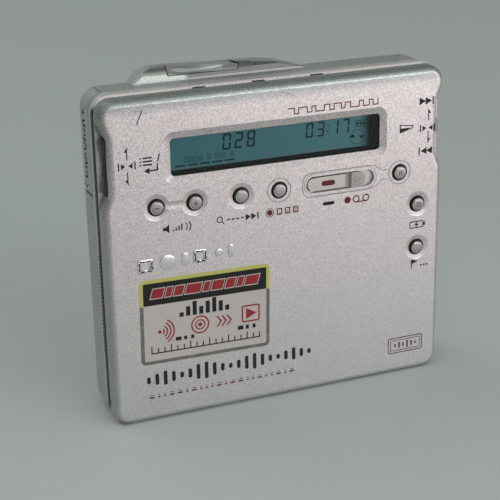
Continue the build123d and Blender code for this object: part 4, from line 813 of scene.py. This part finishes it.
# prints on the left side: on the frame's flank and on the battery door
sideSurface = -39.45
sidePrints = {
    "flankPrint": ("case", {
        "bars": [(2.45, 16.2 + 0.86 * i, (0.9, 0.55, 0.9, 0.7)[i % 4], 0.36) for i in range(26)]}),
    "doorPrint": ("door", {
        "bars": [(-3.0, 51.9, 2.2, 0.35, 35),
                 *((-3.0 + 0.25 * (i % 2), 53.9 + i, (2.0, 1.2, 1.7, 2.1)[i % 4], 0.52, (12, -18, 0)[i % 3])
                   for i in range(13))],
        "shapes": (((-3.9, 67.4), (-2.1, 67.4), (-3.0, 68.6)),)})}
for name, (body, table) in sidePrints.items():
    bm = bmesh.new()
    drawMarks(bm, table)
    raiseMarks(bm, 0, inkHeight)
    bmesh.ops.rotate(bm, verts=bm.verts, cent=(0, 0, 0), matrix=Matrix.Rotation(math.radians(-90), 3, "Z"))
    bmesh.ops.translate(bm, verts=bm.verts, vec=(sideSurface, 0, 0))
    newPiece(name, bm, (printDark,), body)
print("side prints made")

# rim: near-black painted shade in a slit and a small bright stud as a painted glint over each release finger
rim = {"places": (-16.3, -3.0, 10.5), "z": 72.02, "surface": -4.42}
bm = bmesh.new()
for x in rim["places"]:
    addPlate(bm, x - 0.5, rim["z"], 2.3, 0.26, 0.1)
    addPlate(bm, x + 1.0, rim["z"] - 0.12, 0.7, 0.5, 0.2)
# painted shade in the slits
newMarks("rimSlits", bm, blackPlastic, 0.0, rim["surface"], "case", 0.5)
bm = bmesh.new()
for x in rim["places"]:
    addDisc(bm, x + 1.0, rim["z"] - 0.1, 0.15, segments=12)
# painted glints on the studs
newMarks("rimStuds", bm, polished, 0.04, rim["surface"], "case", 0.1)


# shapes laid over a curved surface: every corner is dropped onto it along one direction
def dropOnto(bm, node, toward, lift, away=0.02):
    mesh = part[node].data
    surface = BVHTree.FromPolygons([v.co for v in mesh.vertices], [p.vertices for p in mesh.polygons])
    step = Vector(toward).normalized()
    missed = 0
    for vertex in bm.verts:
        spot = surface.ray_cast(vertex.co * mm - step * away, step)[0]
        if spot is None:
            missed += 1
        else:
            vertex.co = spot / mm - step * lift
    print(node, "corners missed:", missed)


# polished finger scoop along the front slope of the release slider, a bright patch laid on the slider that paints the
# scoop's highlight
scoop = {"start": -20.0, "reach": 12.5, "low": (2.75, 74.0), "high": (3.75, 74.9), "columns": 40, "rows": 6,
         "middle": 0.5, "half": 0.42, "rounding": 0.12, "taper": 0.75, "toward": (0, 0.66, -0.75), "lift": 0.02}
bm = bmesh.new()
rows = []
for i in range(scoop["columns"] + 1):
    t = i / scoop["columns"]
    half = scoop["half"] * min(1.0, math.sqrt(t / scoop["rounding"])) * (1 - t) ** scoop["taper"] + 0.004
    line = []
    for j in range(scoop["rows"] + 1):
        s = scoop["middle"] + half * (2 * j / scoop["rows"] - 1) * (1.0 if j > scoop["rows"] / 2 else 1.1)
        y, z = (a + (b - a) * s for a, b in zip(scoop["low"], scoop["high"]))
        line.append(bm.verts.new((scoop["start"] + scoop["reach"] * t, y, z)))
    rows.append(line)
for first, second in zip(rows, rows[1:]):
    for j in range(scoop["rows"]):
        bm.faces.new((first[j], second[j], second[j + 1], first[j + 1]))
dropOnto(bm, "open_slider", scoop["toward"], scoop["lift"])
# painted highlight: the polished patch stands for the scoop's bright reflection
newPiece("sliderScoop", bm, (polished,), "release")

# thin lip of the back shell over the release slider, with a dark shadow line at its edge
lip = {"outline": ((2.41, 73.41), (2.44, 73.5), (2.55, 73.85), (2.7, 73.99), (3.0, 74.27), (3.25, 74.5),
                   (3.42, 74.62), (3.6, 74.64), (4.4, 74.64), (5.2, 74.64), (6.0, 74.64), (6.82, 74.64)),
       "right": -1.5, "level": -2.3, "drop": 0.19, "tip": -4.75, "ends": -5.7, "gap": 0.06, "thick": 0.07,
       "line": 0.16, "columns": 8}
outline = [Vector((0, y, z)) for y, z in lip["outline"]]
bm = bmesh.new()
layers = []
for depth in (lip["gap"], lip["gap"] + lip["thick"]):
    grid = []
    for j, point in enumerate(outline):
        along = outline[min(j + 1, len(outline) - 1)] - outline[max(j - 1, 0)]
        normal = Vector((0, -along.z, along.y)).normalized()
        s = j / (len(outline) - 1)
        left = lip["ends"] + (lip["tip"] - lip["ends"]) * (1 - (2 * s - 1) ** 2)
        inner = left + lip["line"]
        spots = [left] + [inner + (lip["right"] - inner) * i / lip["columns"] for i in range(lip["columns"] + 1)]
        sink = [lip["drop"] * max(0, x - lip["level"]) / (lip["right"] - lip["level"]) for x in spots]
        grid.append([bm.verts.new(point + normal * (depth - low) + Vector((x, 0, 0))) for x, low in zip(spots, sink)])
    layers.append(grid)
low, high = layers
last = len(low[0]) - 1
for grid in layers:
    for first, second in zip(grid, grid[1:]):
        for i in range(last):
            bm.faces.new((first[i], first[i + 1], second[i + 1], second[i])).material_index = 0 if i else 1
for j in range(len(outline) - 1):
    for i in (0, last):
        bm.faces.new((low[j][i], high[j][i], high[j + 1][i], low[j + 1][i])).material_index = 0 if i else 1
for j in (0, -1):
    for i in range(last):
        bm.faces.new((low[j][i], low[j][i + 1], high[j][i + 1], high[j][i]))
newPiece("sliderLip", bm, (rearPaint, blackPlastic), "case")

# small marks on top of the raised back and two fine scuffs on the face
topMarks = {"y": 2.75, "above": 76, "line": 0.32, "lift": 0.015,
            "bars": ((-1.2, 0.8), (0.1, 0.3), (0.9, 0.8), (2.1, 0.3), (2.8, 0.8), (4.0, 0.7), (5.1, 0.7))}
bm = bmesh.new()
for x, wide in topMarks["bars"]:
    addBar(bm, x + wide / 2, topMarks["y"], wide, topMarks["line"])
bmesh.ops.subdivide_edges(bm, edges=list(bm.edges), cuts=2, use_grid_fill=True)
for vertex in bm.verts:  # laid flat, over the back
    vertex.co = (vertex.co.x, vertex.co.z, topMarks["above"])
dropOnto(bm, "rear_case", (0, 0, -1), topMarks["lift"])
newPiece("topMarks", bm, (leverPlastic,), "case")
bm = bmesh.new()
addBar(bm, 1.2, 69.75, 1.3, 0.09, turn=-14)
addBar(bm, 2.9, 69.15, 1.9, 0.11, turn=-24)
newMarks("faceScuffs", bm, grooveDark, 0.004)
print("rim and slot dressed")

# floor that rises into a backdrop, with painted light making it paler toward the front
room = {"farColour": (0.65, 0.68, 0.665), "nearColour": (0.79, 0.8, 0.785), "fade": (0.12, -0.12),
        "halfWidth": 4.0, "back": 1.2, "height": 3.0, "bend": 0.5}
studioGrey, tree, shader, place = startMaterial("studioGrey", {"Specular IOR Level": 0.1})
handleSurface(tree, shader, place, 0.8, 0.05)
# painted light: the floor grows paler toward the front
near = rangeNode(tree, axesOf(tree, place)[1], room["fade"])
tree.links.new(mixColour(tree, near, room["farColour"], room["nearColour"]), shader["Base Color"])
bm = bmesh.new()
start = bm.verts.new((-room["halfWidth"], -room["halfWidth"], 0))
end = bm.verts.new((-room["halfWidth"], room["back"] - room["bend"], 0))
bm.edges.new((start, end))
bmesh.ops.spin(bm, geom=[end], cent=(-room["halfWidth"], room["back"] - room["bend"], room["bend"]),
               axis=(1, 0, 0), dvec=(0, 0, 0), angle=math.radians(90), steps=24)
last = max(bm.verts, key=lambda v: v.co.y + v.co.z)
top = bmesh.ops.extrude_vert_indiv(bm, verts=[last])["verts"]
bmesh.ops.translate(bm, verts=top, vec=(0, 0, room["height"]))
bmesh.ops.remove_doubles(bm, verts=bm.verts, dist=1e-6)
swept = bmesh.ops.extrude_edge_only(bm, edges=bm.edges[:])
bmesh.ops.translate(bm, verts=[v for v in swept["geom"] if isinstance(v, bmesh.types.BMVert)],
                    vec=(2 * room["halfWidth"], 0, 0))
bmesh.ops.recalc_face_normals(bm, faces=bm.faces)
for face in bm.faces:
    face.smooth = True
sweep = bpy.data.meshes.new("studioSweep")
bm.to_mesh(sweep)
bm.free()
sweep.materials.append(studioGrey)
studio = bpy.data.objects.new("studioSweep", sweep)
bpy.context.collection.objects.link(studio)

# soft lamps, a dim room and the camera
lamps = {
    "frontCard": {"place": (0.6, -0.85, 0.1), "aim": (0, 0, 0.04), "size": 0.9, "tall": 0.2, "power": 4.4,
                  "tint": (1, 0.955, 0.96)},
    "skyCard": {"place": (-0.2, -0.45, 1.0), "aim": (0, 0, 0), "size": 0.9, "tall": 0.9, "power": 1.0,
                "tint": (0.93, 1, 0.97)},
    "lineCard": {"place": (0.3, -0.75, 0.62), "aim": (0, 0, 0.04), "size": 0.7, "tall": 0.06, "power": 0.7,
                 "tint": (0.84, 1, 0.92)},
    "backCard": {"place": (-0.5, 0.7, 1.1), "aim": (0, 0.2, 0), "size": 1.0, "tall": 1.0, "power": 2.2,
                 "tint": (0.95, 1, 0.98)}}
for name, lamp in lamps.items():
    light = bpy.data.lights.new(name, "AREA")
    light.shape = "RECTANGLE"
    light.size = lamp["size"]
    light.size_y = lamp["tall"]
    light.energy = lamp["power"]
    light.color = lamp["tint"]
    holder = bpy.data.objects.new(name, light)
    holder.location = lamp["place"]
    holder.rotation_euler = (Vector(lamp["aim"]) - Vector(lamp["place"])).to_track_quat("-Z", "Y").to_euler()
    bpy.context.collection.objects.link(holder)

roomLight = {"colour": (0.82, 0.86, 0.84, 1.0), "strength": 0.36}
world = bpy.data.worlds.new("roomLight")
bpy.context.scene.world = world
world.use_nodes = True
sky = world.node_tree.nodes["Background"]
sky.inputs["Color"].default_value = roomLight["colour"]
sky.inputs["Strength"].default_value = roomLight["strength"]

eye = {"place": (-106.9, -256.27, 132.3), "yaw": 21.85, "pitch": 19.79, "roll": -1.22, "focus": 94.8}
yaw, pitch, roll = (math.radians(eye[k]) for k in ("yaw", "pitch", "roll"))
forward = Vector((math.sin(yaw) * math.cos(pitch), math.cos(yaw) * math.cos(pitch), -math.sin(pitch)))
right = Vector((math.cos(yaw), -math.sin(yaw), 0))
up = right.cross(forward)
lens = bpy.data.cameras.new("shopCamera")
lens.lens = eye["focus"]
lens.sensor_width = 36
lens.clip_start = 0.01
camera = bpy.data.objects.new("shopCamera", lens)
turn = Matrix((right, up, -forward)).transposed().to_4x4() @ Matrix.Rotation(roll, 4, "Z")
camera.matrix_world = Matrix.Translation(Vector(eye["place"]) * mm) @ turn
bpy.context.collection.objects.link(camera)
bpy.context.scene.camera = camera
bpy.context.scene.view_settings.view_transform = "Standard"
print("studio ready")
